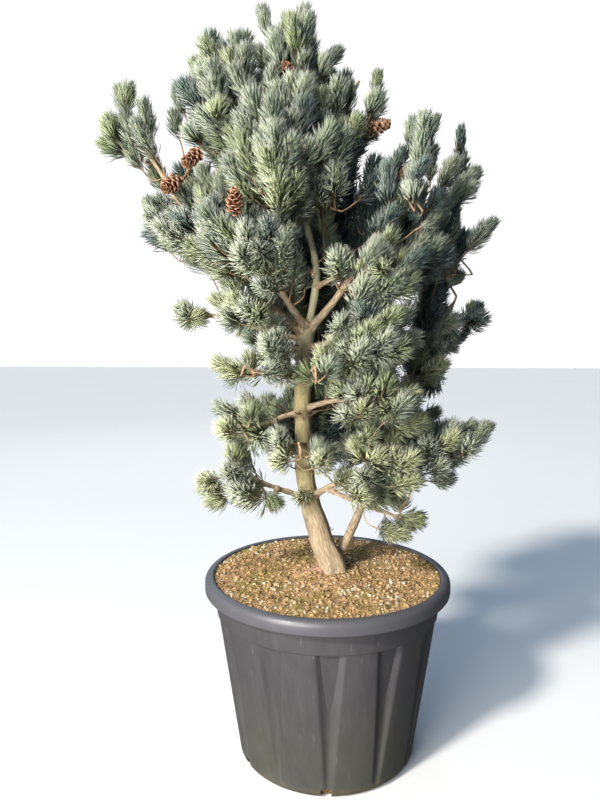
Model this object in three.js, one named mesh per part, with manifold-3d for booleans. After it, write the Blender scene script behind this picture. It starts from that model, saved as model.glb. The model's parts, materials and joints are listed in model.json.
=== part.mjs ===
// A glauca Japanese white pine grown as a small many-boughed tree in a round nursery pot.
// Lengths are in millimetres, +Z is up, and the origin is the centre of the pot's flat underside.
// Seen from the front, which looks along +Y, the trunk leans left and a second stem rises right.
import * as THREE from "three";
import { mergeVertices } from "three/addons/utils/BufferGeometryUtils.js";
import Module from "manifold-3d";

const wasm = await Module();
wasm.setup();

// Driving dimensions of the pot
const POT_HEIGHT = 455;
const RIM_RADIUS = 300;
const RIM_DEPTH = 35;
const RIM_MOUTH = 271;
const COLLAR_FOOT = 366;
const COLLAR_RADIUS = 274;
const FOOT_RADIUS = 215;
const FOOT_ROUND = 24;
const WALL_TOP_RADIUS = 268;
const INNER_FOOT = 200;
const MOUTH_HEIGHT = 444;
const FLOOR = 5;
const FLUTES = 12;
const FLUTE_DEPTH = 5;
const FLUTE_FADE = 0.4;
const SEGMENTS = 48;
const DRAINS = 6;
const DRAIN_WIDTH = 26;
const DRAIN_HEIGHT = 18;

// Driving dimensions of the soil and of the low mound that the trunk stands on
const SOIL_EDGE = 440;
const GROUND = 451;
const MOUND_RADIUS = 75;

// Driving dimensions of the wood
const GAP = 0.35;
const SHORT_EDGE = 0.1;
const TRUNK_PATH = [
  [2, 0, GROUND + GAP],
  [0, 0, 478],
  [-13, 0, 512],
  [-33, 0, 583],
  [-50, 0, 665],
  [-58, 0, 782],
  [-61, 0, 900],
  [-57, 0, 1000],
  [-47, -2, 1060],
  [-34, -8, 1120],
  [-27, -10, 1184],
  [-51, -4, 1291],
  [-80, 0, 1387],
  [-95, 0, 1509],
  [-98, 0, 1590],
];
const SECOND_STEM_PATH = [
  [-8, 6, 478],
  [34, 26, 500],
  [60, 48, 543],
  [88, 70, 602],
  [148, 98, 727],
  [214, 120, 863],
  [242, 130, 934],
  [267, 140, 1021],
  [289, 148, 1123],
  [303, 148, 1219],
  [311, 140, 1305],
];
const ROOT_FLARE = 16;
const ROOT_LOBES = 5;
const FLARE_HEIGHT = 30;
const BOUGH_TIP = 5;
const TIP_DEPTH = 0.72;

// Driving dimensions of a spray of needles, of its twig and of a seed cone
const NEEDLE = 78;
const SHORTEST = 0.55;
const SPIKES = 6;
const BODY = 22;
const BODY_BACK = 26;
const BODY_FRONT = 20;
const TWIG_THICK = 3.4;
const TWIG_THIN = 2.6;
const TWIG_SIDES = 3;
const STEM_THICK = 6;
const STEM_THIN = 3;
const CONE_LENGTH = 66;
const CONE_RADII = [13, 9, 19, 11, 15];
const SMALL_MASS = 290;
const ROOM = 3.2;
const CELL_MARGIN = 1;
const LIMB_MARGIN = 0.5;
const DENSE = 0.44;
const TWIG_SPACING = 0.09;
const TRIES = 40;
const GOLDEN_ANGLE = Math.PI * (3 - Math.sqrt(5));
const UP = new THREE.Vector3(0, 0, 1);

// A mass of needles: the limb that its stem meets, and the height on it if that isn't its tip,
// its middle, its reach along X, Y and Z, how many shoots it carries, how strongly they turn
// upwards, how wide their needles open, in degrees, and how big a core it has, if it is dense.
function mass(name, limb, height, middle, reach, shoots, lift, open, core = 0) {
  const [at, size] = [new THREE.Vector3(...middle), new THREE.Vector3(...reach)];
  return { name, limb, height, middle: at, reach: size, shoots, lift, open, core };
}

const MASSES = [
  mass("top_centre", "trunk", 0, [-80, 0, 1690], [95, 100, 99], 9, 0.75, 32, DENSE),
  mass("top_left", "bough_top_left", 0, [-242, -40, 1586], [112, 115, 128], 11, 0.6, 38, DENSE),
  mass("top_right", "bough_top_right", 0, [58, 70, 1592], [92, 110, 120], 9, 0.7, 34),
  mass("back_top", "trunk", 1470, [-100, 165, 1520], [125, 105, 130], 7, 0.6, 42, DENSE),
  mass("upper_front", "trunk", 1345, [-118, -120, 1450], [112, 110, 132], 9, 0.65, 40, DENSE),
  mass("upper_right", "trunk", 1300, [48, -10, 1425], [108, 115, 130], 7, 0.6, 42, DENSE),
  mass("far_left", "bough_far_left", 0, [-450, -50, 1500], [78, 70, 104], 7, 0.6, 34),
  mass("left_shoulder", "bough_left_outer", 0, [-330, -80, 1312], [105, 115, 130], 8, 0.4, 40, DENSE),
  mass("left_inner", "bough_left_inner", 0, [-165, -150, 1245], [108, 110, 102], 7, 0.4, 42, DENSE),
  mass("left_waist", "trunk", 1035, [-172, -80, 1105], [108, 95, 88], 7, 0.25, 42),
  mass("left_twig", "bough_left_twig", 0, [-316, -50, 1093], [52, 45, 48], 3, 0.2, 42),
  mass("left_belly", "bough_waist_left", 0, [-168, -110, 962], [106, 95, 72], 7, 0.2, 42),
  mass("left_low", "bough_mid_left", 0, [-182, -80, 830], [104, 95, 76], 7, 0.2, 42),
  mass("left_bottom", "bough_low_left", 0, [-222, -80, 718], [98, 95, 76], 7, 0.15, 42),
  mass("left_hanging", "bough_low_left", 0.62, [-130, -92, 642], [38, 40, 40], 1, -0.2, 42),
  mass("front_low", "trunk", 770, [-62, -165, 798], [86, 75, 78], 5, 0.25, 42),
  mass("front_mid", "trunk", 930, [-30, -175, 965], [80, 75, 70], 5, 0.25, 42),
  mass("right_shoulder", "bough_right_fork", 0, [192, -90, 1412], [78, 95, 118], 8, 0.75, 32, DENSE),
  mass("right_high", "second_stem", 0, [312, 115, 1438], [72, 95, 130], 8, 0.75, 32),
  mass("right_arm", "bough_right_arm", 0, [345, 110, 1258], [98, 85, 84], 6, 0.5, 36),
  mass("right_inner", "trunk", 1150, [115, -110, 1210], [108, 110, 100], 7, 0.4, 40, DENSE),
  mass("right_waist", "bough_right_waist", 0, [315, 140, 1102], [105, 110, 92], 7, 0.35, 40),
  mass("right_front", "trunk", 1005, [115, -130, 1048], [108, 95, 82], 7, 0.3, 42, DENSE),
  mass("right_belly", "second_stem", 900, [268, 120, 958], [86, 100, 84], 6, 0.25, 42),
  mass("right_mid", "bough_mid_right", 0, [108, -110, 908], [110, 95, 78], 7, 0.25, 42),
  mass("right_low_arm", "bough_low_arm", 0, [306, -20, 784], [115, 90, 74], 7, 0.3, 40),
  mass("right_low", "bough_low_right", 0, [122, -105, 745], [114, 95, 92], 8, 0.2, 42),
  mass("right_lowest", "bough_lowest_right", 0, [165, -50, 606], [76, 70, 64], 4, -0.1, 42),
  mass("back_centre", "trunk", 1210, [-45, 205, 1262], [105, 100, 115], 5, 0.4, 42, DENSE),
  mass("back_high_left", "bough_back_high", 0, [-228, 150, 1310], [108, 110, 122], 6, 0.4, 40),
  mass("back_high_right", "second_stem", 1255, [175, 215, 1330], [122, 115, 130], 7, 0.45, 40, DENSE),
  mass("back_mid_left", "bough_back_mid", 0, [-160, 190, 1060], [118, 110, 105], 6, 0.25, 42, DENSE),
  mass("back_mid_right", "second_stem", 990, [75, 240, 1080], [125, 110, 110], 6, 0.3, 42, DENSE),
  mass("back_low_left", "bough_back_low", 0, [-135, 165, 812], [115, 105, 90], 6, 0.2, 42, DENSE),
  mass("back_low_right", "second_stem", 745, [150, 235, 834], [122, 105, 94], 5, 0.2, 42, DENSE),
];

// A bough: the limb that it leaves, where on it (a height, or a share of its length up to 1),
// how far its middle arches above the straight line (or sags below it), and its thickness.
const BOUGHS = [
  ["bough_left_outer", "trunk", 1040, -34, 11],
  ["bough_left_inner", "trunk", 1052, -22, 10],
  ["bough_right_fork", "trunk", 1046, -60, 10],
  ["bough_top_left", "trunk", 1330, -10, 7.5],
  ["bough_top_right", "trunk", 1400, 0, 7],
  ["bough_far_left", "bough_left_outer", 0.74, -16, 6.5],
  ["bough_left_twig", "trunk", 1022, 6, 6],
  ["bough_waist_left", "trunk", 925, 8, 6.5],
  ["bough_mid_left", "trunk", 846, 10, 7],
  ["bough_low_left", "trunk", 640, -6, 7.5],
  ["bough_mid_right", "trunk", 856, 12, 7],
  ["bough_low_right", "trunk", 636, 14, 8.5],
  ["bough_lowest_right", "bough_low_right", 0.4, -6, 6],
  ["bough_back_high", "trunk", 1175, 0, 8],
  ["bough_back_mid", "trunk", 960, 6, 7.5],
  ["bough_back_low", "trunk", 720, 10, 7.5],
  ["bough_low_arm", "second_stem", 668, -14, 8],
  ["bough_right_waist", "second_stem", 985, 6, 7],
  ["bough_right_arm", "second_stem", 1150, -4, 7],
];

// Seed cones: the middle, the turn that the nose points to and how far it droops, in degrees
const CONES = [
  [-346, -120, 1365, 200, 35],
  [-303, -100, 1424, 170, 10],
  [-190, -235, 1312, 280, -50],
  [119, 20, 1520, 20, -25],
  [176, -85, 1388, 300, 20],
  [250, 95, 1104, 290, 10],
  [300, 105, 1190, 280, 0],
  [-93, -62, 1617, 260, -20],
];

// Repeatable numbers from 0 to 1
function seeded(seed) {
  let state = seed;
  return () => {
    state = (state * 16807) % 2147483647;
    return state / 2147483647;
  };
}

function solidFrom(geometry) {
  geometry.deleteAttribute("normal");
  geometry.deleteAttribute("uv");
  const merged = mergeVertices(geometry, 1e-3);
  const vertProperties = merged.attributes.position.array;
  const corners = merged.index.array;
  const open = [];
  for (let i = 0; i < corners.length; i += 3) {
    const [a, b, c] = corners.slice(i, i + 3);
    if (a !== b && b !== c && c !== a) open.push(a, b, c);
  }
  const triVerts = new Uint32Array(open);
  return new wasm.Manifold(new wasm.Mesh({ numProp: 3, vertProperties, triVerts }));
}

function geometryFrom(solid) {
  const mesh = solid.getMesh();
  const geometry = new THREE.BufferGeometry();
  geometry.setAttribute("position", new THREE.BufferAttribute(mesh.vertProperties, 3));
  geometry.setIndex(new THREE.BufferAttribute(mesh.triVerts, 1));
  geometry.computeVertexNormals();
  return geometry;
}

// A cut or a join can leave scraps, hollows and hairline faces: only the outer body is kept,
// without its shortest edges.
function outerBody(solid) {
  const bodies = solid.simplify(SHORT_EDGE).decompose();
  return bodies.reduce((a, b) => (b.volume() > a.volume() ? b : a));
}

// A cylinder bent along the limb's curve, each ring as thick as the limb is there
function limbSolid({ curve, radiusAt, sides, steps, flatFoot }, extra = 0) {
  const frames = curve.computeFrenetFrames(steps, false);
  const geometry = new THREE.CylinderGeometry(1, 1, 1, sides, steps);
  const ring = geometry.attributes.position;
  for (let i = 0; i < ring.count; i++) {
    const share = ring.getY(i) + 0.5;
    const step = Math.round(share * steps);
    const across = ring.getX(i);
    const along = ring.getZ(i);
    const radius = radiusAt(share, Math.atan2(along, across)) + extra;
    const place = curve.getPointAt(share);
    place.addScaledVector(frames.normals[step], across * radius);
    place.addScaledVector(frames.binormals[step], -along * radius);
    if (flatFoot && step === 0) place.z = GROUND + GAP;
    ring.setXYZ(i, place.x, place.y, place.z);
  }
  return solidFrom(geometry);
}

// A share of a limb's length, from either a share or a height
function shareOf(limb, at) {
  if (at <= 1) return at;
  let [low, high] = [0, 1];
  for (let i = 0; i < 30; i++) {
    const middle = (low + high) / 2;
    if (limb.curve.getPointAt(middle).z < at) low = middle;
    else high = middle;
  }
  return low;
}

function splineThrough(points) {
  return new THREE.CatmullRomCurve3(points.map((p) => new THREE.Vector3(...p)));
}

function trunkRadius(share, turn) {
  const z = trunk.curve.getPointAt(share).z;
  const flare = ROOT_FLARE * Math.exp(-(z - GROUND) / FLARE_HEIGHT);
  const lobes = 1 + 0.22 * Math.cos(ROOT_LOBES * turn) * Math.exp(-(z - GROUND) / FLARE_HEIGHT);
  const below = THREE.MathUtils.mapLinear(z, GROUND, 1050, 25.5, 18.5);
  const above = THREE.MathUtils.mapLinear(z, 1050, 1590, 10, 5);
  const fork = THREE.MathUtils.smoothstep(z, 1040, 1085);
  return THREE.MathUtils.lerp(below, above, fork) * lobes + flare;
}

const trunk = { name: "trunk", curve: splineThrough(TRUNK_PATH), radiusAt: trunkRadius, sides: 10, steps: 16, flatFoot: true };

const secondStem = {
  name: "second_stem",
  curve: splineThrough(SECOND_STEM_PATH),
  radiusAt: (share) => THREE.MathUtils.lerp(12.5, 5, share ** 0.8),
  sides: 7,
  steps: 10,
};

// A bough runs from its parent's middle to just inside the mass that it carries.
function growBough([name, parentName, at, arch, thick]) {
  const parent = limbs.get(parentName);
  const start = parent.curve.getPointAt(shareOf(parent, at));
  const carried = MASSES.find((m) => m.limb === name);
  const inward = start.clone().sub(carried.middle);
  const depth = inward.clone().divide(carried.reach).length();
  const tip = carried.middle.clone().addScaledVector(inward, TIP_DEPTH / depth);
  const bend = start.clone().lerp(tip, 0.5).addScaledVector(UP, arch);
  return {
    name,
    parent,
    curve: new THREE.QuadraticBezierCurve3(start, bend, tip),
    radiusAt: (share) => THREE.MathUtils.lerp(thick, BOUGH_TIP, share ** 0.8),
    sides: 5,
    steps: 3,
  };
}

const limbs = new Map([
  ["trunk", trunk],
  ["second_stem", secondStem],
]);
for (const row of BOUGHS) limbs.set(row[0], growBough(row));

// The limbs as straight lengths with a radius, for keeping twigs and needles off them
const limbLengths = [...limbs.values()].flatMap((limb) =>
  Array.from({ length: limb.steps * 2 }, (_, i) => {
    const [from, to] = [i / (limb.steps * 2), (i + 1) / (limb.steps * 2)];
    return {
      line: new THREE.Line3(limb.curve.getPointAt(from), limb.curve.getPointAt(to)),
      radius: Math.max(limb.radiusAt(from, 0), limb.radiusAt(to, 0)),
    };
  }),
);

// How far a point lies inside a mass's own share of the crown: beyond the flat faces that part
// it from its neighbours, each face set by the two masses' sizes
function depthInCell(point, own) {
  let depth = Infinity;
  for (const other of MASSES) {
    if (other === own) continue;
    const apart = own.middle.distanceTo(other.middle);
    const lead = powerOf(point, other) - powerOf(point, own);
    depth = Math.min(depth, lead / (2 * apart));
  }
  return depth;
}

function powerOf(point, { middle, reach }) {
  const size = (reach.x + reach.y + reach.z) / 3;
  return point.distanceToSquared(middle) - size * size;
}

function clearOfLimbs(lines, pad) {
  return limbLengths.every(({ line, radius }) => farApart(lines, [line], radius + pad + LIMB_MARGIN));
}

// A stem, from its bough's tip or from inside the limb that it leaves
function stemSolid(own, extra = 0) {
  const [thick, thin] = [(own.height ? STEM_THICK : BOUGH_TIP) + extra, STEM_THIN + extra];
  return twigSolid(stems.get(own), thick, thin, 4, 2);
}

// A shoot: a three-sided twig from its stem to a spray of needles, all one closed surface. The
// spray is a slim body with spikes that fan out round it, each spike a bunch of needles. The
// surface is a ball whose rings become, from the front: the body's end, the spikes' tips and the
// valleys between them, the spray's neck, and the twig's start, buried in the stem.
function growShoot(own, start, heart, aim, spikes, size) {
  const side = new THREE.Vector3(aim.y, -aim.x, 0.2).cross(aim).normalize();
  const other = aim.clone().cross(side);
  const neck = heart.clone().addScaledVector(aim, -BODY_BACK * size);
  const along = neck.clone().sub(start).normalize();
  const geometry = new THREE.SphereGeometry(1, 2 * SPIKES, 4);
  const ring = geometry.attributes.position;
  const around = (middle, out, turn) =>
    middle
      .clone()
      .addScaledVector(side, out * Math.cos(turn))
      .addScaledVector(other, out * Math.sin(turn));
  const tips = spikes.map(({ open, long }, i) => {
    const out = around(heart, long * Math.sin(open), (2 * i * Math.PI) / SPIKES);
    out.addScaledVector(aim, long * Math.cos(open));
    let share = 1;
    while (share > SHORTEST && depthInCell(out, own) < CELL_MARGIN) {
      out.lerp(heart, 0.08);
      share *= 0.92;
    }
    return out;
  });
  for (let i = 0; i < ring.count; i++) {
    const level = Math.round((Math.acos(ring.getY(i)) * 4) / Math.PI);
    const corner = i % (2 * SPIKES + 1) % (2 * SPIKES);
    const turn = (corner * Math.PI) / SPIKES;
    const facet = Math.floor((corner * TWIG_SIDES) / (2 * SPIKES));
    const facetTurn = ((facet + 0.5) * 2 * Math.PI) / TWIG_SIDES;
    let spot = heart.clone().addScaledVector(aim, BODY_FRONT * size);
    if (level === 1) spot = corner % 2 ? around(heart, BODY * size, turn) : tips[corner / 2];
    if (level === 2) spot = around(neck, TWIG_THIN, facetTurn);
    if (level === 3) {
      const rim = around(start, TWIG_THICK, facetTurn).sub(start);
      spot = rim.addScaledVector(along, -rim.dot(along)).setLength(TWIG_THICK).add(start);
    }
    if (level === 4) spot = start.clone().addScaledVector(along, -1);
    ring.setXYZ(i, spot.x, spot.y, spot.z);
  }
  return { geometry, tips, neck };
}

function twigSolid(curve, thick, thin, sides, steps) {
  return limbSolid({ curve, radiusAt: (share) => THREE.MathUtils.lerp(thick, thin, share), sides, steps });
}

// The stem of a mass carries on from its bough's tip, or leaves the limb that it meets.
function stemOf({ limb: limbName, height, middle, reach, lift }) {
  const limb = limbs.get(limbName);
  const share = height ? shareOf(limb, height) : 1;
  const start = limb.curve.getPointAt(share);
  const along = limb.curve.getTangentAt(share);
  const away = middle.clone().sub(start);
  const end = middle.clone().addScaledVector(away.normalize().multiply(reach), 0.25);
  end.addScaledVector(UP, reach.z * lift * 0.3);
  if (!height) start.addScaledVector(along, GAP);
  const bend = start.clone().lerp(end, 0.45);
  if (!height) bend.copy(start).addScaledVector(along, start.distanceTo(end) * 0.45);
  return new THREE.QuadraticBezierCurve3(start, bend, end);
}

// Where on the stem a twig leaves: not far from its spray, well behind it, and apart from the
// twigs that left the stem before it
function leavingShare(stem, goal, aim, used) {
  const fit = (share) => {
    const run = goal.clone().sub(stem.getPoint(share));
    return (run.dot(aim) - run.length()) * 1.5 - run.length();
  };
  let best = null;
  for (let share = 0.15; share <= 1; share += 0.05) {
    if (used.some((other) => Math.abs(other - share) < TWIG_SPACING)) continue;
    if (best === null || fit(share) > fit(best)) best = share;
  }
  return best ?? 1;
}

function farApart(lines, others, least) {
  return lines.every((line) => others.every((other) => line.distanceSqToLine3(other) > least * least));
}

// One shoot whose spray ends at a place in the mass, or nothing if it leaves the mass's own
// space, comes near a limb, or tangles with a shoot that grew before it
function placeShoot({ own, stem, heartwood, wood, used, earlier }, tip, aim, spikes, size) {
  const heart = tip.clone().addScaledVector(aim, -0.9 * NEEDLE * size);
  const share = leavingShare(stem, heart.clone().addScaledVector(aim, -BODY_BACK * size), aim, used);
  const start = stem.getPoint(share);
  const shoot = growShoot(own, start, heart, aim, spikes, size);
  const middle = start.clone().lerp(shoot.neck, 0.5);
  if ([...shoot.tips, shoot.neck, middle].some((p) => depthInCell(p, own) < CELL_MARGIN)) return null;
  const body = new THREE.Line3(shoot.neck, heart);
  const fins = shoot.tips.flatMap((p) => [new THREE.Line3(heart, p), new THREE.Line3(shoot.neck, p)]);
  if (!clearOfLimbs(fins, 1) || !clearOfLimbs([body], BODY * size)) return null;
  if (!clearOfLimbs([new THREE.Line3(middle, shoot.neck)], TWIG_THICK)) return null;
  const solid = solidFrom(shoot.geometry);
  if (!solid.intersect(wood).isEmpty()) return null;
  const outside = solid.subtract(heartwood);
  if (earlier.some((other) => !other.intersect(outside).isEmpty())) return null;
  earlier.push(outside);
  used.push(share);
  return solid;
}

// The smaller core of a dense mass, drawn in wherever it would leave the mass's own space
function coreSolid(own, random) {
  const geometry = new THREE.SphereGeometry(1, 7, 4);
  geometry.rotateY(random() * Math.PI);
  geometry.rotateX(1.2);
  const surface = geometry.attributes.position;
  for (let i = 0; i < surface.count; i++) {
    const outward = new THREE.Vector3().fromBufferAttribute(surface, i).multiply(own.reach);
    const lumps = 1 + 0.12 * Math.sin(outward.x * 0.13 + outward.y * 0.11 + outward.z * 0.17);
    let share = own.core * lumps;
    while (depthInCell(own.middle.clone().addScaledVector(outward, share), own) < CELL_MARGIN) share *= 0.94;
    const spot = own.middle.clone().addScaledVector(outward, share);
    surface.setXYZ(i, spot.x, spot.y, spot.z);
  }
  return solidFrom(geometry);
}

function growCone(stem, [x, y, z, turn, droop]) {
  const heading = THREE.MathUtils.degToRad(turn);
  const fall = THREE.MathUtils.degToRad(droop);
  const level = Math.cos(fall);
  const nose = new THREE.Vector3(level * Math.cos(heading), level * Math.sin(heading), -Math.sin(fall));
  const middle = new THREE.Vector3(x, y, z);
  const row = CONE_LENGTH / (CONE_RADII.length + 0.4);
  const profile = CONE_RADII.map((r, i) => new THREE.Vector2(r, (i + 0.6) * row));
  profile.unshift(new THREE.Vector2(0, 0));
  profile.push(new THREE.Vector2(0, CONE_LENGTH));
  const geometry = new THREE.LatheGeometry(profile, SPIKES);
  geometry.translate(0, -CONE_LENGTH / 2, 0);
  geometry.applyQuaternion(new THREE.Quaternion().setFromUnitVectors(new THREE.Vector3(0, 1, 0), nose));
  geometry.translate(x, y, z);
  const tail = middle.clone().addScaledVector(nose, 8 - CONE_LENGTH / 2);
  const stalk = new THREE.LineCurve3(stem.getPoint(leavingShare(stem, tail, nose, [])), tail);
  return [twigSolid(stalk, TWIG_THICK, TWIG_THIN, TWIG_SIDES, 1), solidFrom(geometry)];
}

// The limbs and the other masses' stems that pass through the room round a mass, all a little
// thicker than they are
function woodNear(own) {
  const room = new THREE.BoxGeometry(...own.reach.clone().multiplyScalar(ROOM).toArray());
  room.translate(...own.middle.toArray());
  const otherStems = MASSES.filter((m) => m !== own).map((m) => stemSolid(m, GAP));
  return wasm.Manifold.union([allLimbs, ...otherStems]).intersect(solidFrom(room));
}

// The whole mass: a stem, perhaps a core, shoots turned evenly round them by the golden angle,
// and cones. A shoot that doesn't fit is turned and drawn in little by little, and is left out
// if it never fits. The mass is cut clear of the limbs and the stems that pass it.
function growMass(own, index) {
  const random = seeded(4001 + 97 * index);
  random();
  const stem = stems.get(own);
  const pieces = [stemSolid(own)];
  if (own.core) pieces.push(coreSolid(own, random));
  const heartwood = wasm.Manifold.union(pieces);
  const leaning = own.middle.clone().setZ(0).multiplyScalar(0.0012);
  const fullSize = Math.min(1, (own.reach.x + own.reach.y + own.reach.z) / SMALL_MASS);
  const wood = woodNear(own);
  const growth = { own, stem, heartwood, wood, used: [], earlier: [] };
  for (let i = 0; i < own.shoots; i++) {
    for (let attempt = 0; attempt < TRIES; attempt++) {
      const size = fullSize * (1 - (0.4 * attempt) / TRIES);
      const rise = 1 - (2 * (i + 0.25 + 0.5 * random())) / own.shoots;
      const turn = i * GOLDEN_ANGLE + index + (0.4 + 0.12 * attempt) * (random() - 0.5);
      const level = Math.sqrt(1 - rise * rise);
      const outward = new THREE.Vector3(level * Math.cos(turn), level * Math.sin(turn), rise);
      outward.add(leaning).normalize();
      const aim = outward.clone().multiplyScalar(1 - 0.5 * own.lift).addScaledVector(UP, own.lift);
      aim.add(new THREE.Vector3(random() - 0.5, random() - 0.5, random() - 0.5).multiplyScalar(0.4));
      aim.normalize();
      const spikes = Array.from({ length: SPIKES }, (_, k) => ({
        open: THREE.MathUtils.degToRad(own.open * (k % 2 ? 1.15 : 0.6) * (0.85 + 0.3 * random())),
        long: NEEDLE * size * (0.88 + 0.2 * random()),
      }));
      const tip = own.middle.clone().addScaledVector(outward.multiply(own.reach), 1.07 - (0.45 * attempt) / TRIES);
      const shoot = placeShoot(growth, tip, aim, spikes, size);
      if (!shoot) continue;
      pieces.push(shoot);
      break;
    }
  }
  for (const row of CONES) {
    const place = new THREE.Vector3(row[0], row[1], row[2]);
    if (depthInCell(place, own) > 0) pieces.push(...growCone(stem, row));
  }
  let solid = wasm.Manifold.union(pieces);
  if (own.height) solid = solid.subtract(limbSolid(limbs.get(own.limb), GAP));
  return outerBody(solid.subtract(wood));
}

// A limb is cut back to the surface of every limb that was grown before it.
function growLimb(limb, earlier) {
  let solid = limbSolid(limb);
  for (const other of earlier) solid = solid.subtract(limbSolid(other, GAP));
  return outerBody(solid);
}

// How deep a flute is at a turn round the pot: full in its middle, nothing between flutes
function fluteShape(turn) {
  return FLUTE_DEPTH * Math.max(0, Math.cos(FLUTES * turn)) ** 0.6;
}

function wallRadius(z) {
  return THREE.MathUtils.mapLinear(z, 0, COLLAR_FOOT, FOOT_RADIUS, WALL_TOP_RADIUS);
}

// A turned shape from rows of radius, height and the share of the flutes' depth there
function turned(rows) {
  const geometry = new THREE.LatheGeometry(
    rows.map(([r, z]) => new THREE.Vector2(r, z)),
    SEGMENTS,
  );
  const ring = geometry.attributes.position;
  for (let i = 0; i < ring.count; i++) {
    const [radius, , fluted] = rows[i % rows.length];
    const turn = Math.atan2(ring.getX(i), ring.getZ(i));
    const share = radius ? 1 - ((fluted ?? 0) * fluteShape(turn)) / radius : 1;
    ring.setXYZ(i, ring.getX(i) * share, ring.getY(i), ring.getZ(i) * share);
  }
  geometry.rotateX(Math.PI / 2);
  return solidFrom(geometry);
}

function makePot() {
  const rimFoot = POT_HEIGHT - RIM_DEPTH;
  const outside = [
    [0, 0],
    [FOOT_RADIUS - 11, 0],
    [wallRadius(FOOT_ROUND), FOOT_ROUND, FLUTE_FADE],
    [wallRadius(COLLAR_FOOT), COLLAR_FOOT, 1],
    [COLLAR_RADIUS - 3, COLLAR_FOOT + 3],
    [COLLAR_RADIUS, rimFoot - 1],
  ];
  const rim = [
    [RIM_RADIUS - 4, rimFoot],
    [RIM_RADIUS, rimFoot + 8],
    [RIM_RADIUS, rimFoot + 21],
    [RIM_RADIUS - 12, POT_HEIGHT],
    [RIM_MOUTH + 6, POT_HEIGHT - 3],
    [RIM_MOUTH, MOUTH_HEIGHT],
  ];
  const inside = [
    [INNER_FOOT, FLOOR],
    [0, FLOOR],
  ];
  let pot = turned([...outside, ...rim, ...inside]);
  for (let i = 0; i < DRAINS; i++) {
    const slot = new THREE.BoxGeometry(DRAIN_WIDTH, 40, 2 * DRAIN_HEIGHT);
    slot.translate(0, -FOOT_RADIUS, 0);
    slot.rotateZ((i * 2 * Math.PI) / DRAINS);
    pot = pot.subtract(solidFrom(slot));
  }
  return outerBody(pot);
}

function makeSoil() {
  const edge = THREE.MathUtils.mapLinear(SOIL_EDGE, FLOOR, MOUTH_HEIGHT, INNER_FOOT, RIM_MOUTH);
  return turned([
    [0, FLOOR + GAP],
    [INNER_FOOT - 1, FLOOR + GAP],
    [edge - 1, SOIL_EDGE],
    [MOUND_RADIUS, GROUND],
    [0, GROUND],
  ]);
}

const bark = new THREE.MeshStandardMaterial({ color: 0x8f8468, roughness: 0.85, metalness: 0 });
const youngBark = new THREE.MeshStandardMaterial({ color: 0x9c7f55, roughness: 0.8, metalness: 0 });
const needles = new THREE.MeshStandardMaterial({ color: 0x7d8f80, roughness: 0.6, metalness: 0 });
const plastic = new THREE.MeshStandardMaterial({ color: 0x4b4a4a, roughness: 0.5, metalness: 0 });
const pottingSoil = new THREE.MeshStandardMaterial({ color: 0x9a7a4c, roughness: 0.95, metalness: 0 });

const pine = new THREE.Group();

function addNode(name, solid, material) {
  const mesh = new THREE.Mesh(geometryFrom(solid), material);
  mesh.name = name;
  pine.add(mesh);
}

const stems = new Map(MASSES.map((own) => [own, stemOf(own)]));
const allLimbs = wasm.Manifold.union([...limbs.values()].map((limb) => limbSolid(limb, GAP)));

addNode("pot", makePot(), plastic);
addNode("soil", makeSoil(), pottingSoil);
const grown = [];
for (const limb of limbs.values()) {
  addNode(limb.name, growLimb(limb, grown), limb.parent ? youngBark : bark);
  grown.push(limb);
}
MASSES.forEach((own, index) => addNode("needles_" + own.name, growMass(own, index), needles));

export default pine;
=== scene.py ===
"""A glauca Japanese white pine in a round nursery pot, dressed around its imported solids.

The wood, twigs, needles and cones grow by the same rule as the solids, carried to finer twigs.
Tables are in millimetres, as in the part's source, and MM turns them into Blender's metres.
"""

import json
import math
from dataclasses import dataclass

import bmesh
import bpy
import numpy as np
from bpy.props import FloatProperty, FloatVectorProperty, IntProperty, PointerProperty
from mathutils import Matrix, Vector, noise

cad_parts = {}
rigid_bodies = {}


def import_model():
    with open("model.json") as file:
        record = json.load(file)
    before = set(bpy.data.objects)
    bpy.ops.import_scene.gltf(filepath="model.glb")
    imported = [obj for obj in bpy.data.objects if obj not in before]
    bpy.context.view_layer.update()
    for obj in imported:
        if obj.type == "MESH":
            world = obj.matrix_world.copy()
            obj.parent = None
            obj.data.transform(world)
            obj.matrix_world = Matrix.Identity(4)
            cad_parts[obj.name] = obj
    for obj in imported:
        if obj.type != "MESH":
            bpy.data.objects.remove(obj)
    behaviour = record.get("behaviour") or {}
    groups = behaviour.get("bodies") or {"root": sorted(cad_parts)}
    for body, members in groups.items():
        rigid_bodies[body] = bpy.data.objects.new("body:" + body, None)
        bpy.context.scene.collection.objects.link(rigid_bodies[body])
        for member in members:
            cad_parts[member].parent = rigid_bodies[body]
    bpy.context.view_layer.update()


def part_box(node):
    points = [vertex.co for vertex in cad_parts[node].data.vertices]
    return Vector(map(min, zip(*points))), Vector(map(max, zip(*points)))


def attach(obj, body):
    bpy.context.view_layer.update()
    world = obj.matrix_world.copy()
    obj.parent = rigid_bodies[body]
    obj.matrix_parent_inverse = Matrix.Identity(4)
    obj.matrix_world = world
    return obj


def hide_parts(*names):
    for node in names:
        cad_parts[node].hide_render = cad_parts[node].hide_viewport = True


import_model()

bl_info = {
    "name": "Potted White Pine",
    "version": (1, 0, 0),
    "blender": (4, 5, 0),
    "location": "3D View > Sidebar > White Pine",
    "description": "Makes a glauca Japanese white pine in its nursery pot",
    "category": "Add Mesh",
}

MM = 0.001
UP = np.array([0.0, 0.0, 1.0])
GOLDEN_ANGLE = math.pi * (3 - math.sqrt(5))
MOST_TRIANGLES = 190_000

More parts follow.
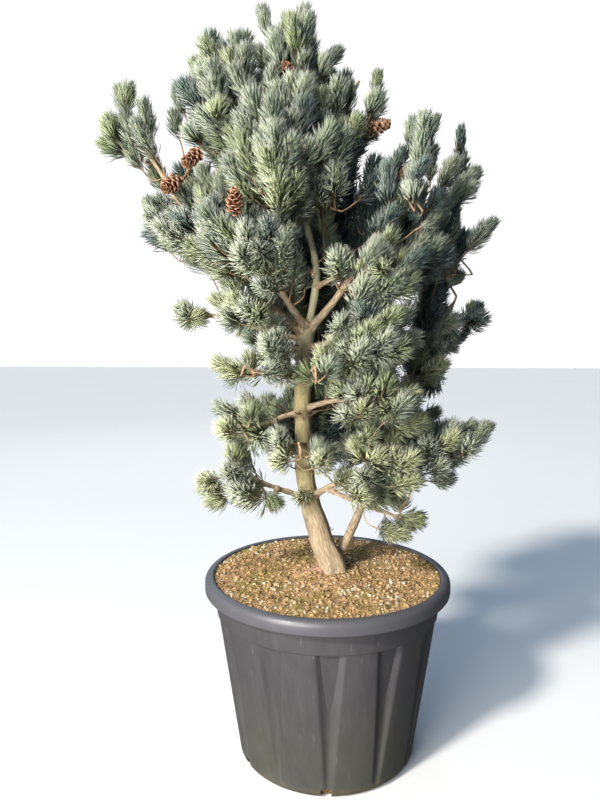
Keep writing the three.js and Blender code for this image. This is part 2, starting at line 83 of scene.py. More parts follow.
# The pot and the soil, as in the solids, the soil's broad and crumbly relief, in millimetres, the
# faces across and round the soil and round the pot, and how far out and how near to the trunk
# grains lie
POT_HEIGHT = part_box("pot")[1].z
RIM_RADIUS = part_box("pot")[1].x
RIM_DEPTH = 35 * MM
RIM_MOUTH = 271 * MM
MOUTH_HEIGHT = 444 * MM
LIP_MOUTH = 277 * MM
COLLAR_FOOT = 366 * MM
COLLAR_RADIUS = 274 * MM
FOOT_RADIUS = 215 * MM
FOOT_ROUND = 22 * MM
WALL_TOP_RADIUS = 268 * MM
INNER_FOOT = 200 * MM
FLOOR = 5 * MM
FLUTES = 12
FLUTE_TURN = math.radians(1.5)
DRAINS = 6
DRAIN_SIZE = (24 * MM, 40 * MM, 50 * MM)
SOIL_EDGE = 440 * MM
TRUNK_FOOT = 451
SOIL_TOP_EDGE = 451 * MM
MOUND_TOP = 460 * MM
MOUND_RADIUS = 75 * MM
BROAD_RELIEF = 3.2
CRUMB_RELIEF = 2.6
SOIL_GRID = (84, 220)
POT_STEPS = 36 * FLUTES
GRAINS_OUT = 0.273
GRAINS_IN = 0.034

# The limbs: the gap between solids, their curves, the trunk's flare and lobes at its foot, its
# radii from the foot to the fork and from there to the top, a bough's radius at its tip, and how
# far out in its mass it ends
GAP = 0.35
TRUNK_PATH = [
    (12, 0, 451.35), (10, 0, 478), (-5, 0, 512), (-29, 0, 583), (-50, 0, 665), (-58, 0, 782),
    (-61, 0, 900), (-57, 0, 1000), (-47, -2, 1060), (-34, -8, 1120), (-27, -10, 1184), (-51, -4, 1291),
    (-80, 0, 1387), (-95, 0, 1509), (-98, 0, 1590),
]
SECOND_STEM_PATH = [
    (-8, 6, 478), (34, 26, 500), (60, 48, 543), (88, 70, 602), (148, 98, 727), (214, 120, 863),
    (242, 130, 934), (267, 140, 1021), (289, 148, 1123), (303, 148, 1219), (311, 140, 1305),
]
ROOT_FLARE = 16
ROOT_LOBES = 5
FLARE_HEIGHT = 30
FORK_HEIGHT = 1050
FORK_BLEND = (1040, 1085)
TRUNK_TOP = 1590
LOW_RADII = (25.5, 18.5)
HIGH_RADII = (10, 5)
BOUGH_TIP = 5
TIP_DEPTH = 0.72

# The camera, in metres and degrees, where it stands in millimetres, and the main light's way
CAMERA_PLACE = (0.0, -1.678, 1.074)
CAMERA_PITCH = 6.58
CAMERA_YAW = 2.288
FRONT_EYE = np.array(CAMERA_PLACE) / MM
KEY_AIM = (0.52, 0.62, -0.588)

# Heights between which the trunk shows from the front, the space kept free of sprays beside it
# there, and the space that lets the main light reach it
TRUNK_SHOWS = [(455, 700), (760, 922), (985, 1066), (1066, 1270)]
TRUNK_SPACE = 26
LIGHT_SPACE = 24

# A spray: its needles' length, where along it a needle is widest, how far before the tip of its
# needles their middle lies, in needle lengths, and how far behind that tip a shoot's twig starts
LEAF = 50
WIDEST = 0.66
HEART = 0.62
SHOOT_BACK = 112

# The crown: how far a shoot may reach into the next mass, how fast a mass thins out, how full a
# hollow between masses must be to hold sprays, and how far out a spray, its tip and the middle of
# a twig may lie, as squares of the nearest mass's reaches
OVERLAP = 16
FALLOFF = 2.2
HOLLOW = 0.14
INSIDE = 0.8
OUTSIDE = 1.2
CLEAR_OUT = 1.1

# The space kept free round open sky, how much of a twig may cross it, how many of the cones show
# in front, and the space kept free beside, behind and before each of them
SKY_SPACE = 8
SKY_EDGE = -4
CLEAR_CONES = 4
CONE_SPACE = 40
BEHIND_CONE = 20
BEFORE_CONE = 130

# The room that each spray keeps at the outside and deep in the crown, how full the crown is at
# either, how much of it counts along X, Y and Z, and how many places are tried
ROOM_OUT = 36
ROOM_IN = 47
FULLNESS = (0.75, 1.6)
SQUASH = np.array([1, 1, 0.72])
CANDIDATES = 90000

# Twigs: a run that isn't shortened any more, how straight a twig leads into its spray at least
# before its run is shortened and before it is refused, the lengths below which a twig isn't
# needed, may turn back, and above which its way has to lie inside the crown, the longest from a
# stem and from any wood, and the radii at both ends of a stem's and of a spray's own twig
SHORT_RUN = 34
SHARP_TURN = 0.3
SHARPEST_TURN = 0.15
NO_TWIG = 10
NO_TURN = 16
LONG_TWIG = 30
LONGEST = 400
LONGEST_FINE = 130
STRONG_RADII = (3.2, 2.3)
SPRAY_RADII = (1.7, 1.3)

# A spray is wholly covered by so many others, at least so much further out, and so close beside
COVERING = 5
FURTHER_OUT = 25
CLOSE_BESIDE = 45

# The source's rule: the size of a mass below which its shoots are smaller, how often a shoot that
# doesn't fit is tried, the margin kept free round a limb, and a stem's radius at its ends
SMALL_MASS = 290
TRIES = 40
LIMB_MARGIN = 4
STEM_THICK = 6
STEM_THIN = 3

# A seed cone's length and number of scales, the heights of the trunk's tuft and of the surface
# roots, and the seeds of the random draws
CONE_LENGTH = 66
CONE_SCALES = 38
TUFT_HEIGHT = 668
ROOT_HEIGHT = 458
SEEDS = {"crown": 88, "clubs": 41, "needles": 9, "soil": 21, "snags": 77, "cones": 31}


@dataclass
class Mass:
    """A mass of needles: the limb that its stem meets, and the height on it if that isn't its
    tip, its middle and its reach along X, Y and Z, how many shoots it carries, how strongly they
    turn upwards, how wide their needles open, in degrees, and how much of it is dense."""

    name: str
    limb: str
    height: float
    middle: list
    reach: list
    shoots: int
    lift: float
    open: float
    core: float = 0.0

    def __post_init__(self):
        self.middle = np.array(self.middle, float)
        self.reach = np.array(self.reach, float)


DENSE = 0.44
MASSES = [
    Mass("top_centre", "trunk", 0, [-80, 0, 1690], [95, 100, 99], 9, 0.75, 32, DENSE),
    Mass("top_left", "bough_top_left", 0, [-242, -40, 1586], [112, 115, 128], 11, 0.6, 38, DENSE),
    Mass("top_right", "bough_top_right", 0, [58, 70, 1592], [92, 110, 120], 9, 0.7, 34),
    Mass("back_top", "trunk", 1470, [-100, 165, 1520], [125, 105, 130], 7, 0.6, 42, DENSE),
    Mass("upper_front", "trunk", 1345, [-118, -120, 1450], [112, 110, 132], 9, 0.65, 40, DENSE),
    Mass("upper_right", "trunk", 1300, [48, -10, 1425], [108, 115, 130], 7, 0.6, 42, DENSE),
    Mass("far_left", "bough_far_left", 0, [-450, -50, 1500], [78, 70, 104], 7, 0.6, 34),
    Mass("left_shoulder", "bough_left_outer", 0, [-330, -80, 1312], [105, 115, 130], 8, 0.4, 40, DENSE),
    Mass("left_inner", "bough_left_inner", 0, [-165, -150, 1245], [108, 110, 102], 7, 0.4, 42, DENSE),
    Mass("left_waist", "trunk", 1035, [-172, -80, 1105], [108, 95, 88], 7, 0.25, 42),
    Mass("left_twig", "bough_left_twig", 0, [-316, -50, 1093], [52, 45, 48], 3, 0.2, 42),
    Mass("left_belly", "bough_waist_left", 0, [-168, -110, 962], [106, 95, 72], 7, 0.2, 42),
    Mass("left_low", "bough_mid_left", 0, [-182, -80, 830], [104, 95, 76], 7, 0.2, 42),
    Mass("left_bottom", "bough_low_left", 0, [-222, -80, 718], [98, 95, 76], 7, 0.15, 42),
    Mass("left_hanging", "bough_low_left", 0.62, [-130, -92, 642], [38, 40, 40], 1, -0.2, 42),
    Mass("front_low", "trunk", 770, [-62, -165, 798], [86, 75, 78], 5, 0.25, 42),
    Mass("front_mid", "trunk", 930, [-30, -175, 965], [80, 75, 70], 5, 0.25, 42),
    Mass("right_shoulder", "bough_right_fork", 0, [192, -90, 1412], [78, 95, 118], 8, 0.75, 32, DENSE),
    Mass("right_high", "second_stem", 0, [312, 115, 1438], [72, 95, 130], 8, 0.75, 32),
    Mass("right_arm", "bough_right_arm", 0, [345, 110, 1258], [98, 85, 84], 6, 0.5, 36),
    Mass("right_inner", "trunk", 1150, [115, -110, 1210], [108, 110, 100], 7, 0.4, 40, DENSE),
    Mass("right_waist", "bough_right_waist", 0, [315, 140, 1102], [105, 110, 92], 7, 0.35, 40),
    Mass("right_front", "trunk", 1005, [115, -130, 1048], [108, 95, 82], 7, 0.3, 42, DENSE),
    Mass("right_belly", "second_stem", 900, [268, 120, 958], [86, 100, 84], 6, 0.25, 42),
    Mass("right_mid", "bough_mid_right", 0, [108, -110, 908], [110, 95, 78], 7, 0.25, 42),
    Mass("right_low_arm", "bough_low_arm", 0, [306, -20, 784], [115, 90, 74], 7, 0.3, 40),
    Mass("right_low", "bough_low_right", 0, [122, -105, 745], [114, 95, 92], 8, 0.2, 42),
    Mass("right_lowest", "bough_lowest_right", 0, [165, -50, 606], [76, 70, 64], 4, -0.1, 42),
    Mass("back_centre", "trunk", 1210, [-45, 205, 1262], [105, 100, 115], 5, 0.4, 42, DENSE),
    Mass("back_high_left", "bough_back_high", 0, [-228, 150, 1310], [108, 110, 122], 6, 0.4, 40),
    Mass("back_high_right", "second_stem", 1255, [175, 215, 1330], [122, 115, 130], 7, 0.45, 40, DENSE),
    Mass("back_mid_left", "bough_back_mid", 0, [-160, 190, 1060], [118, 110, 105], 6, 0.25, 42, DENSE),
    Mass("back_mid_right", "second_stem", 990, [75, 240, 1080], [125, 110, 110], 6, 0.3, 42, DENSE),
    Mass("back_low_left", "bough_back_low", 0, [-135, 165, 812], [115, 105, 90], 6, 0.2, 42, DENSE),
    Mass("back_low_right", "second_stem", 745, [150, 235, 834], [122, 105, 94], 5, 0.2, 42, DENSE),
]

# A bough: the limb that it leaves, where on it (a height, or a share of its length up to 1),
# how far its middle arches above the straight line (or sags below it), and its thickness.
BOUGHS = [
    ("bough_left_outer", "trunk", 1040, -34, 11),
    ("bough_left_inner", "trunk", 1052, -22, 10),
    ("bough_right_fork", "trunk", 1046, -60, 10),
    ("bough_top_left", "trunk", 1330, -10, 7.5),
    ("bough_top_right", "trunk", 1400, 0, 7),
    ("bough_far_left", "bough_left_outer", 0.74, -16, 6.5),
    ("bough_left_twig", "trunk", 1022, 6, 6),
    ("bough_waist_left", "trunk", 925, 8, 6.5),
    ("bough_mid_left", "trunk", 846, 10, 7),
    ("bough_low_left", "trunk", 640, -6, 7.5),
    ("bough_mid_right", "trunk", 856, 12, 7),
    ("bough_low_right", "trunk", 636, 14, 8.5),
    ("bough_lowest_right", "bough_low_right", 0.4, -6, 6),
    ("bough_back_high", "trunk", 1175, 0, 8),
    ("bough_back_mid", "trunk", 960, 6, 7.5),
    ("bough_back_low", "trunk", 720, 10, 7.5),
    ("bough_low_arm", "second_stem", 668, -14, 8),
    ("bough_right_waist", "second_stem", 985, 6, 7),
    ("bough_right_arm", "second_stem", 1150, -4, 7),
]

# Seed cones: the middle, the turn that the nose points to and how far it droops, in degrees
CONES = [
    (-346, -120, 1365, 245, 30), (-303, -100, 1424, 235, 35), (-190, -235, 1312, 280, -50),
    (119, 20, 1520, 20, -25), (176, -85, 1388, 300, 20), (250, 95, 1104, 290, 10),
    (300, 105, 1190, 280, 0), (-93, -62, 1617, 260, -20),
]

# Shoots that stand clear of the crown's outline: the tip, the lean to the right in degrees, the
# twig's run and how wide the needles open, in degrees
CLUBS = [
    (-158, 0, 1790, -13, 60, 20), (-95, -20, 1768, 3, 55, 26), (-47, 0, 1773, 3, 60, 26),
    (39, 60, 1714, 49, 45, 24), (53, 40, 1640, 6, 50, 20), (120, 60, 1668, 11, 60, 20),
    (6, 20, 1660, 10, 45, 26), (-188, -20, 1731, 5, 50, 36), (-269, -40, 1722, -8, 50, 36),
    (-312, -40, 1663, -25, 55, 24), (-358, -30, 1612, -22, 60, 24), (-362, -20, 1560, -15, 50, 26),
    (-481, -50, 1604, -17, 60, 20), (-497, -50, 1536, -30, 45, 20), (-417, -50, 1552, 5, 40, 22),
    (-522, -50, 1487, -60, 60, 36), (-400, -50, 1495, 25, 35, 24), (-387, -60, 1457, 10, 40, 24),
    (-421, -80, 1358, -30, 45, 20), (183, -60, 1531, 0, 60, 24), (262, 40, 1556, 28, 60, 18),
    (325, 115, 1556, 4, 70, 20), (264, 60, 1486, 40, 50, 20), (294, 150, 1476, -10, 45, 22),
    (371, 110, 1428, 50, 50, 34), (421, 110, 1323, 42, 60, 18), (323, 60, 1307, 45, 50, 34),
    (399, 140, 1118, 38, 60, 18), (352, 120, 1190, 60, 50, 20), (377, 140, 1050, 60, 60, 18),
    (335, 120, 985, 120, 40, 24), (295, 100, 847, 60, 50, 34), (406, -20, 825, 72, 60, 22),
    (363, -20, 839, 55, 50, 30), (239, -60, 851, 25, 50, 36), (-313, -80, 683, -80, 50, 40),
    (-291, -90, 642, -110, 40, 40), (-268, -110, 972, -75, 60, 26), (-277, -80, 875, -75, 50, 38),
    (-103, -92, 624, 140, 40, 42), (230, -50, 596, 100, 40, 40), (155, -50, 539, 165, 40, 40),
    (321, 0, 687, 90, 50, 36), (-353, -50, 1112, -50, 45, 40), (-425, -80, 1270, -80, 50, 38),
    (-385, -80, 1234, -130, 40, 38), (-302, -80, 1183, 165, 40, 40),
]

# Hollows between the masses that twigs grow into as well: the middle, and the reach each way
BETWEEN = np.array([
    (35, 120, 800, 90, 90, 90), (30, 60, 900, 70, 90, 70), (20, 120, 985, 90, 90, 80),
    (235, 90, 1300, 80, 90, 90), (-90, 40, 780, 60, 80, 90), (-60, 60, 1180, 90, 80, 90),
    (20, 60, 1290, 80, 90, 80), (-65, -60, 1600, 80, 60, 70), (207, -60, 830, 70, 80, 70),
    (-146, -120, 1138, 90, 80, 80), (-147, -120, 1039, 80, 80, 70), (234, -20, 1270, 80, 80, 90),
    (-20, -110, 1460, 60, 60, 90), (-75, -100, 1530, 70, 60, 70), (75, 190, 1330, 90, 80, 130),
    (-310, -10, 1425, 70, 60, 50), (70, -20, 1150, 60, 50, 50),
])

# Rounds of sky that stay open between the shoots, seen from the front: X, Z and the radius
SKY = np.array([
    (65, 1665, 23), (80, 1595, 18), (149, 1506, 18), (261, 1499, 25), (341, 1482, 27), (245, 1421, 14),
    (328, 1321, 28), (377, 1223, 37), (321, 1138, 28), (375, 1044, 23), (333, 973, 26), (304, 911, 28),
    (305, 858, 17), (391, 744, 33), (-231, 1013, 31), (-266, 904, 19), (-298, 741, 34),
    (-334, 1153, 29), (-398, 1539, 30), (-366, 1471, 19), (-486, 1404, 29), (-413, 1205, 29),
    (-459, 1354, 14), (-341, 1654, 14), (1, 1749, 23), (-92, 567, 20), (-223, 594, 28), (86, 572, 20),
    (276, 1461, 16),
])

# Shaded rounds, seen from the front, that only sprays at the back of the crown reach into. Sprays
# in or near them, within the pad, take the dark shaded tint, which paints shade
SHADE = np.array([
    (74, 1425, 34), (96, 1373, 44), (62, 1345, 40), (90, 1300, 45), (50, 1298, 28), (62, 1230, 26),
    (-37, 1526, 22),
])
SHADE_BACK = 110
SHADE_PAD = 15

# Roots that surface at the trunk's foot: the turn, the length, the thickness and the sideways sway
ROOTS = ((205, 105, 13, -18), (248, 70, 9, 10), (318, 58, 10, 8), (160, 62, 8, 6))

# The trunk's swollen whorls, its belly, the heights between which its plates fade out and its
# relief grows shallow, and how far and for how long a limb swells where it leaves its parent
WHORLS = (640, 720, 850, 928, 1016, 1048)
BELLY = 548
PLATES_FADE = (1120, 700)
RELIEF_FADE = (1000, 1200)
COLLAR_SWELL = 0.55
COLLAR_RUN = 9

# Faces along and round the trunk and the second stem, round a bough, and the length of a bough's
TRUNK_GRID = (440, 60)
STEM_GRID = (300, 30)
BOUGH_SIDES = 12
BOUGH_STEP = 5

# Dead twigs left on the trunk: the height, the turn round it and the length
SNAGS = [
    (846, 200, 70), (850, 255, 46), (842, 300, 62), (851, 340, 90), (845, 30, 60), (700, 330, 72),
    (706, 210, 44), (648, 285, 30), (762, 240, 52), (930, 310, 48), (1010, 225, 42), (560, 350, 26),
]

# Shades of the pot's plastic as shares of its colour, bands of height on the pot and the trunk
# with their own finish, from where it fades in to where it is full, and the heights of the scars
# at the trunk's whorls, in metres. The rim's band carries a painted highlight, and the trunk's
# pale band is partly painted light
SHADES = {"plain": 1, "faded": 1.22, "dark": 0.84, "scratched": 3.2}
ALGAE_BAND = (0.26, 0.02)
SPLASH_BAND = (0.03, 0.0)
RIM_BAND = (0.415, 0.425)
GREEN_BAND = (0.56, 0.7)
PALE_AND_LIT_BAND = (0.95, 1.1)
WHORL_SCARS = (0.846, 0.722, 0.655)

# The main light's width in the sky and its colour, and the soft lights: the place, the goal, the
# size, the power and the colour
KEY_WIDTH = math.radians(7)
KEY_COLOUR = (1.0, 0.955, 0.87)
SOFT_LIGHTS = (
    ("fill", (-1.6, -2.8, 0.9), (0.0, 0.0, 0.85), 2.2, 190, (1.0, 0.98, 0.94)),
    ("back", (-1.4, 4.2, 3.4), (0.0, 0.0, 1.1), 3.0, 25, (0.8, 0.9, 1.0)),
)
# The light of the sky: its tint, its strength from the left and from the right, and how bright
# the camera sees it. The floor: half its width, and how much less it throws back than it shows
SKY_TINT = (0.55, 0.75, 1.0)
SKY_POWERS = (0.62, 0.14)
SKY_SEEN = 1.05
FLOOR_HALF = 14
FLOOR_GLOW = 0.22

# Colours laid over the pot, the soil and the wood. The rim's is a painted bluish highlight, and
# the pale bark is partly the bark's own pale grey-green and partly painted light
ALGAE = (0.085, 0.1, 0.03)
SPLASHED_SOIL = (0.16, 0.115, 0.06)
RIM_PAINTED_HIGHLIGHT = (0.088, 0.086, 0.095)
MOSSY_SOIL = (0.36, 0.29, 0.07)
LOOSE_BARK = (0.6, 0.42, 0.24)
TRUNK_ALGAE = (0.27, 0.26, 0.085)
PALE_BARK_AND_PAINTED_LIGHT = (0.5, 0.49, 0.36)
SCAR = (0.07, 0.045, 0.025)
TWIG_SHADE = (0.1, 0.06, 0.03)

# Barks: the furrows', the plates' and the bloom's colours, the furrows' scale, how far they are
# drawn out, the share of ring scars, and the depth. The trunk's plates are in its settings.
BARKS = {
    "trunk_bark": ((0.26, 0.195, 0.13), None, (0.56, 0.48, 0.34), 150.0, 0.16, 0.1, 0.3),
    "bough_bark": ((0.26, 0.19, 0.12), (0.5, 0.38, 0.25), (0.55, 0.48, 0.3), 150.0, 0.3, 0.15, 0.4),
    "root_bark": ((0.17, 0.085, 0.045), (0.46, 0.28, 0.18), (0.52, 0.36, 0.24), 110.0, 0.35, 0.4, 0.5),
}

# Small pieces: the dark and the pale colour, the patches' scale and the roughness
GRAINS = {
    "perlite": ((0.55, 0.48, 0.34), (0.85, 0.82, 0.7), 120.0, 0.8),
    "moss": ((0.22, 0.22, 0.04), (0.52, 0.46, 0.12), 80.0, 0.7),
    "fallen_needles": ((0.22, 0.12, 0.05), (0.5, 0.33, 0.16), 60.0, 0.7),
    "dead_twigs": ((0.035, 0.022, 0.015), (0.16, 0.11, 0.07), 90.0, 0.85),
    "winter_buds": ((0.26, 0.14, 0.07), (0.5, 0.34, 0.2), 150.0, 0.45),
    # Cone scales: the dark inner faces are painted shade, the pale edges partly painted highlight
    "cone_scales": ((0.05, 0.02, 0.011), (0.24, 0.1, 0.05), 75.0, 0.7),
    "cone_scale_edges": ((0.24, 0.105, 0.055), (0.56, 0.33, 0.2), 90.0, 0.65),
    "cone_stalks": ((0.14, 0.08, 0.04), (0.33, 0.2, 0.1), 60.0, 0.8),
}

# The needles' tints: the colour of a needle's outer face, and of its banded, waxy inner faces. The
# dark shaded tint and the darker slate tint are painted shade, and the pale yellow-green sunny tint
# is partly painted sunlight
TINTS = {
    # Partly painted sunlight: a paler yellow-green dealt out where the light falls
    "sunny": ((0.195, 0.222, 0.11), (0.28, 0.3, 0.165)),
    "frosted": ((0.145, 0.178, 0.127), (0.215, 0.243, 0.176)),
    "glaucous": ((0.1, 0.14, 0.095), (0.185, 0.22, 0.155)),
    # Painted shade: a darker tint that dims the upper left
    "slate": ((0.07, 0.1, 0.072), (0.13, 0.158, 0.117)),
    "green": ((0.1, 0.135, 0.06), (0.18, 0.21, 0.11)),
    "olive": ((0.13, 0.145, 0.06), (0.205, 0.22, 0.115)),
    "shaded": ((0.024, 0.037, 0.038), (0.06, 0.08, 0.079)),
}


def lerp(low, high, share):
    return low + (high - low) * share


def unit(rows):
    """Rows of vectors, each brought to length 1"""
    rows = np.asarray(rows, float)
    return rows / np.maximum(np.linalg.norm(rows, axis=-1, keepdims=True), 1e-12)


def sides_of(axes):
    """Two directions square to each axis, and to each other"""
    axes = unit(axes)
    helper = np.where(np.abs(axes[..., 2:3]) < 0.9, UP, np.array([1.0, 0.0, 0.0]))
    side = unit(np.cross(helper, axes))
    return side, np.cross(axes, side)


def smoothstep(value, low, high):
    share = np.clip((value - low) / (high - low), 0, 1)
    return share * share * (3 - 2 * share)


class Line:
    """A curve as close points, read by the share of its length from 0 to 1"""

    def __init__(self, points):
        self.points = np.array(points, float)
        spans = np.linalg.norm(np.diff(self.points, axis=0), axis=1)
        self.run = np.concatenate([[0.0], np.cumsum(spans)])
        self.length = self.run[-1]

    def at(self, share):
        goal = np.asarray(share, float) * self.length
        return np.stack([np.interp(goal, self.run, self.points[:, k]) for k in range(3)], axis=-1)

    def along(self, share):
        share = np.asarray(share, float)
        return unit(self.at(np.minimum(share + 0.01, 1)) - self.at(np.maximum(share - 0.01, 0)))

    def share_of(self, at):
        """A share of the length, from either a share or a height"""
        if at <= 1:
            return at
        shares = np.linspace(0, 1, 2000)
        return float(shares[np.argmin(np.abs(self.at(shares)[:, 2] - at))])


def spline_through(points, steps=24):
    """A centripetal spline through points"""
    rows = np.array(points, float)
    rows = np.vstack([2 * rows[0] - rows[1], rows, 2 * rows[-1] - rows[-2]])
    share = np.linspace(0, 1, steps, endpoint=False)[:, None]
    found = []
    for a, b, c, d in zip(rows, rows[1:], rows[2:], rows[3:]):
        ab, bc, cd = (np.linalg.norm(q - p) ** 0.5 for p, q in ((a, b), (b, c), (c, d)))
        leave = ((b - a) / ab - (c - a) / (ab + bc) + (c - b) / bc) * bc
        arrive = ((c - b) / bc - (d - b) / (bc + cd) + (d - c) / cd) * bc
        cubic = 2 * b - 2 * c + leave + arrive
        square = -3 * b + 3 * c - 2 * leave - arrive
        found.append(b + leave * share + square * share**2 + cubic * share**3)
    return Line(np.vstack([*found, rows[-2]]))


def bent_line(start, bend, end, steps=24):
    """A curve from start to end, drawn towards bend"""
    share = np.linspace(0, 1, steps + 1)[:, None]
    return Line((1 - share) ** 2 * start + 2 * share * (1 - share) * bend + share**2 * end)


class Seeded:
    """Repeatable numbers from 0 to 1, the same as the solids' rule draws"""

    def __init__(self, seed):
        self.state = seed

    def __call__(self):
        self.state = (self.state * 16807) % 2147483647
        return self.state / 2147483647


@dataclass
class Limb:
    """A trunk, stem or bough, its radius at each share, and the limb that it leaves"""

    name: str
    line: Line
    radius_at: object
    parent: object = None


def trunk_radius(share):
    z = trunk_line.at(share)[..., 2]
    flare = ROOT_FLARE * np.exp(-(z - TRUNK_FOOT) / FLARE_HEIGHT)
    below = lerp(*LOW_RADII, (z - TRUNK_FOOT) / (FORK_HEIGHT - TRUNK_FOOT))
    above = lerp(*HIGH_RADII, (z - FORK_HEIGHT) / (TRUNK_TOP - FORK_HEIGHT))
    return lerp(below, above, smoothstep(z, *FORK_BLEND)) + flare


def grow_bough(name, parent_name, at, arch, thick):
    """A bough runs from its parent's middle to just inside the mass that it carries."""
    parent = limbs[parent_name]
    start = parent.line.at(parent.line.share_of(at))
    carried = next(m for m in MASSES if m.limb == name)
    inward = start - carried.middle
    tip = carried.middle + inward * TIP_DEPTH / np.linalg.norm(inward / carried.reach)
    line = bent_line(start, (start + tip) / 2 + UP * arch, tip)
    return Limb(name, line, lambda share: lerp(thick, BOUGH_TIP, np.asarray(share) ** 0.8), parent)


trunk_line = spline_through(TRUNK_PATH)
limbs = {
    "trunk": Limb("trunk", trunk_line, trunk_radius),
    "second_stem": Limb(
        "second_stem",
        spline_through(SECOND_STEM_PATH),
        lambda share: lerp(12.5, 5, np.asarray(share) ** 0.8),
    ),
}
for row in BOUGHS:
    limbs[row[0]] = grow_bough(*row)

# Close points on every limb with the limb's radius there, for keeping sprays off the wood
LIMB_SHARES = np.linspace(0, 1, 90)
LIMB_POINTS = np.vstack([limb.line.at(LIMB_SHARES) for limb in limbs.values()])
LIMB_RADII = np.concatenate([limb.radius_at(LIMB_SHARES) for limb in limbs.values()])
MIDDLES = np.array([m.middle for m in MASSES])
REACHES = np.array([m.reach for m in MASSES])
FILLED = np.vstack([np.hstack([MIDDLES, REACHES]), BETWEEN])
MASS_SIZES = REACHES.mean(axis=1)
TRUNK_POINTS = trunk_line.at(np.linspace(0, 1, 200))
TRUNK_RADII = trunk_radius(np.linspace(0, 1, 200))


def heading(turn, rise=0.0):
    """The level direction at a turn in degrees, with a rise added"""
    angle = math.radians(turn)
    return np.array([math.cos(angle), math.sin(angle), rise])


def on_trunk(height):
    """The place in the trunk's middle at a height"""
    return trunk_line.at(trunk_line.share_of(height))


def from_trunk(place):
    """The way to a place from the trunk's middle beside it"""
    return place - TRUNK_POINTS[np.argmin(np.abs(TRUNK_POINTS[:, 2] - place[2]))]


def depth_in_cell(points, index):
    """How far points lie inside a mass's own share of the crown, beyond the flat faces that part
    it from its neighbours"""
    points = np.atleast_2d(points)
    power = ((points[:, None] - MIDDLES) ** 2).sum(axis=2) - MASS_SIZES**2
    apart = np.linalg.norm(MIDDLES - MIDDLES[index], axis=1)
    apart[index] = 1
    depth = (power - power[:, index : index + 1]) / (2 * apart)
    depth[:, index] = np.inf
    return depth.min(axis=1)


def cell_of(place):
    """The index of the mass whose share of the crown a place lies in"""
    return int(np.argmax([depth_in_cell(place, index)[0] for index in range(len(MASSES))]))


def clear_of_limbs(points, pad):
    away = np.linalg.norm(np.atleast_2d(points)[:, None] - LIMB_POINTS, axis=2) - LIMB_RADII
    return bool((away > pad + LIMB_MARGIN).all())


def stem_of(own):
    """The stem of a mass carries on from its bough's tip, or leaves the limb that it meets."""
    limb = limbs[own.limb]
    share = limb.line.share_of(own.height) if own.height else 1.0
    start = limb.line.at(share)
    along = limb.line.along(share)
    end = own.middle + unit(own.middle - start) * own.reach * 0.25 + UP * own.reach[2] * own.lift * 0.3
    if own.height:
        return bent_line(start, lerp(start, end, 0.45), end)
    start = start + along * GAP
    return bent_line(start, start + along * np.linalg.norm(end - start) * 0.45, end)


def leaving_place(stem, goal, aim):
    """Where on the stem a twig leaves: not far from its spray, and well behind it"""
    places = stem.at(np.arange(0.15, 1.001, 0.05))
    run = goal - places
    reach = np.linalg.norm(run, axis=1)
    return places[np.argmax((run @ aim - reach) * 1.5 - reach)]


@dataclass
class Spray:
    """A shoot's needled end: its twig from start to end and the bow of that, the share of it that
    is bare, the needles' length, how wide they open, in radians, and how deep in the crown it is"""

    start: np.ndarray
    end: np.ndarray
    bow: np.ndarray
    bare: float
    length: float
    open: float
    depth: float


@dataclass
class Twig:
    """A bare or needled twig: the points that it runs through and its radius at both ends"""

    path: np.ndarray
    thick: float
    thin: float


def fill_of(points):
    """How full the crown is at points, 1 at one mass's middle and summed where masses meet, and
    the square of how far out they are from the nearest, in its reaches"""
    apart = (((np.atleast_2d(points)[:, None] - FILLED[:, :3]) / FILLED[:, 3:]) ** 2).sum(axis=2)
    return np.exp(-FALLOFF * apart).sum(axis=1), apart.min(axis=1)


def trunk_at(heights):
    """The X and Y of the trunk's middle and its radius at heights, and whether it shows there"""
    values = (TRUNK_POINTS[:, 0], TRUNK_POINTS[:, 1], TRUNK_RADII)
    shows = np.any([(heights > low) & (heights < high) for low, high in TRUNK_SHOWS], axis=0)
    return *(np.interp(heights, TRUNK_POINTS[:, 2], row) for row in values), shows


def seen_from_front(points):
    """Where points stand on the upright plane through the trunk, as seen from the front"""
    share = -FRONT_EYE[1] / (points[:, 1] - FRONT_EYE[1])
    return FRONT_EYE + (points - FRONT_EYE) * share[:, None]


def hides_trunk(points):
    """Which points stand between the front and the trunk, where it shows between the sprays"""
    points = np.atleast_2d(points)
    seen = seen_from_front(points)
    middle, _, thick, shows = trunk_at(seen[:, 2])
    return (points[:, 1] < 0) & (np.abs(seen[:, 0] - middle) < thick + TRUNK_SPACE) & shows


def shades_trunk(points):
    """Which points stand between the main light and the trunk, where it shows"""
    points = np.atleast_2d(points)
    level = np.array(KEY_AIM[:2])
    heights = points[:, 2]
    for _ in range(2):
        axis = np.stack(trunk_at(heights)[:2], axis=1)
        run = (axis - points[:, :2]) @ level / (level @ level)
        heights = points[:, 2] + run * KEY_AIM[2]
    _, _, thick, shows = trunk_at(heights)
    beside = np.linalg.norm(points[:, :2] + run[:, None] * level - axis, axis=1)
    return (run > 0) & (beside < thick + LIGHT_SPACE) & shows


def in_rounds(points, rounds, pad):
    """Which points, seen from the front, stand before or behind one of some rounds"""
    seen = seen_from_front(np.atleast_2d(points))
    away = np.linalg.norm(seen[:, None, [0, 2]] - rounds[:, :2], axis=2) - rounds[:, 2]
    return away.min(axis=1) < pad


def in_the_sky(points, pad):
    """Which points stand in a round of open sky, or before a shaded round"""
    open_sky = in_rounds(points, SKY, pad)
    return open_sky | (in_rounds(points, SHADE, 0) & (np.atleast_2d(points)[:, 1] < SHADE_BACK))


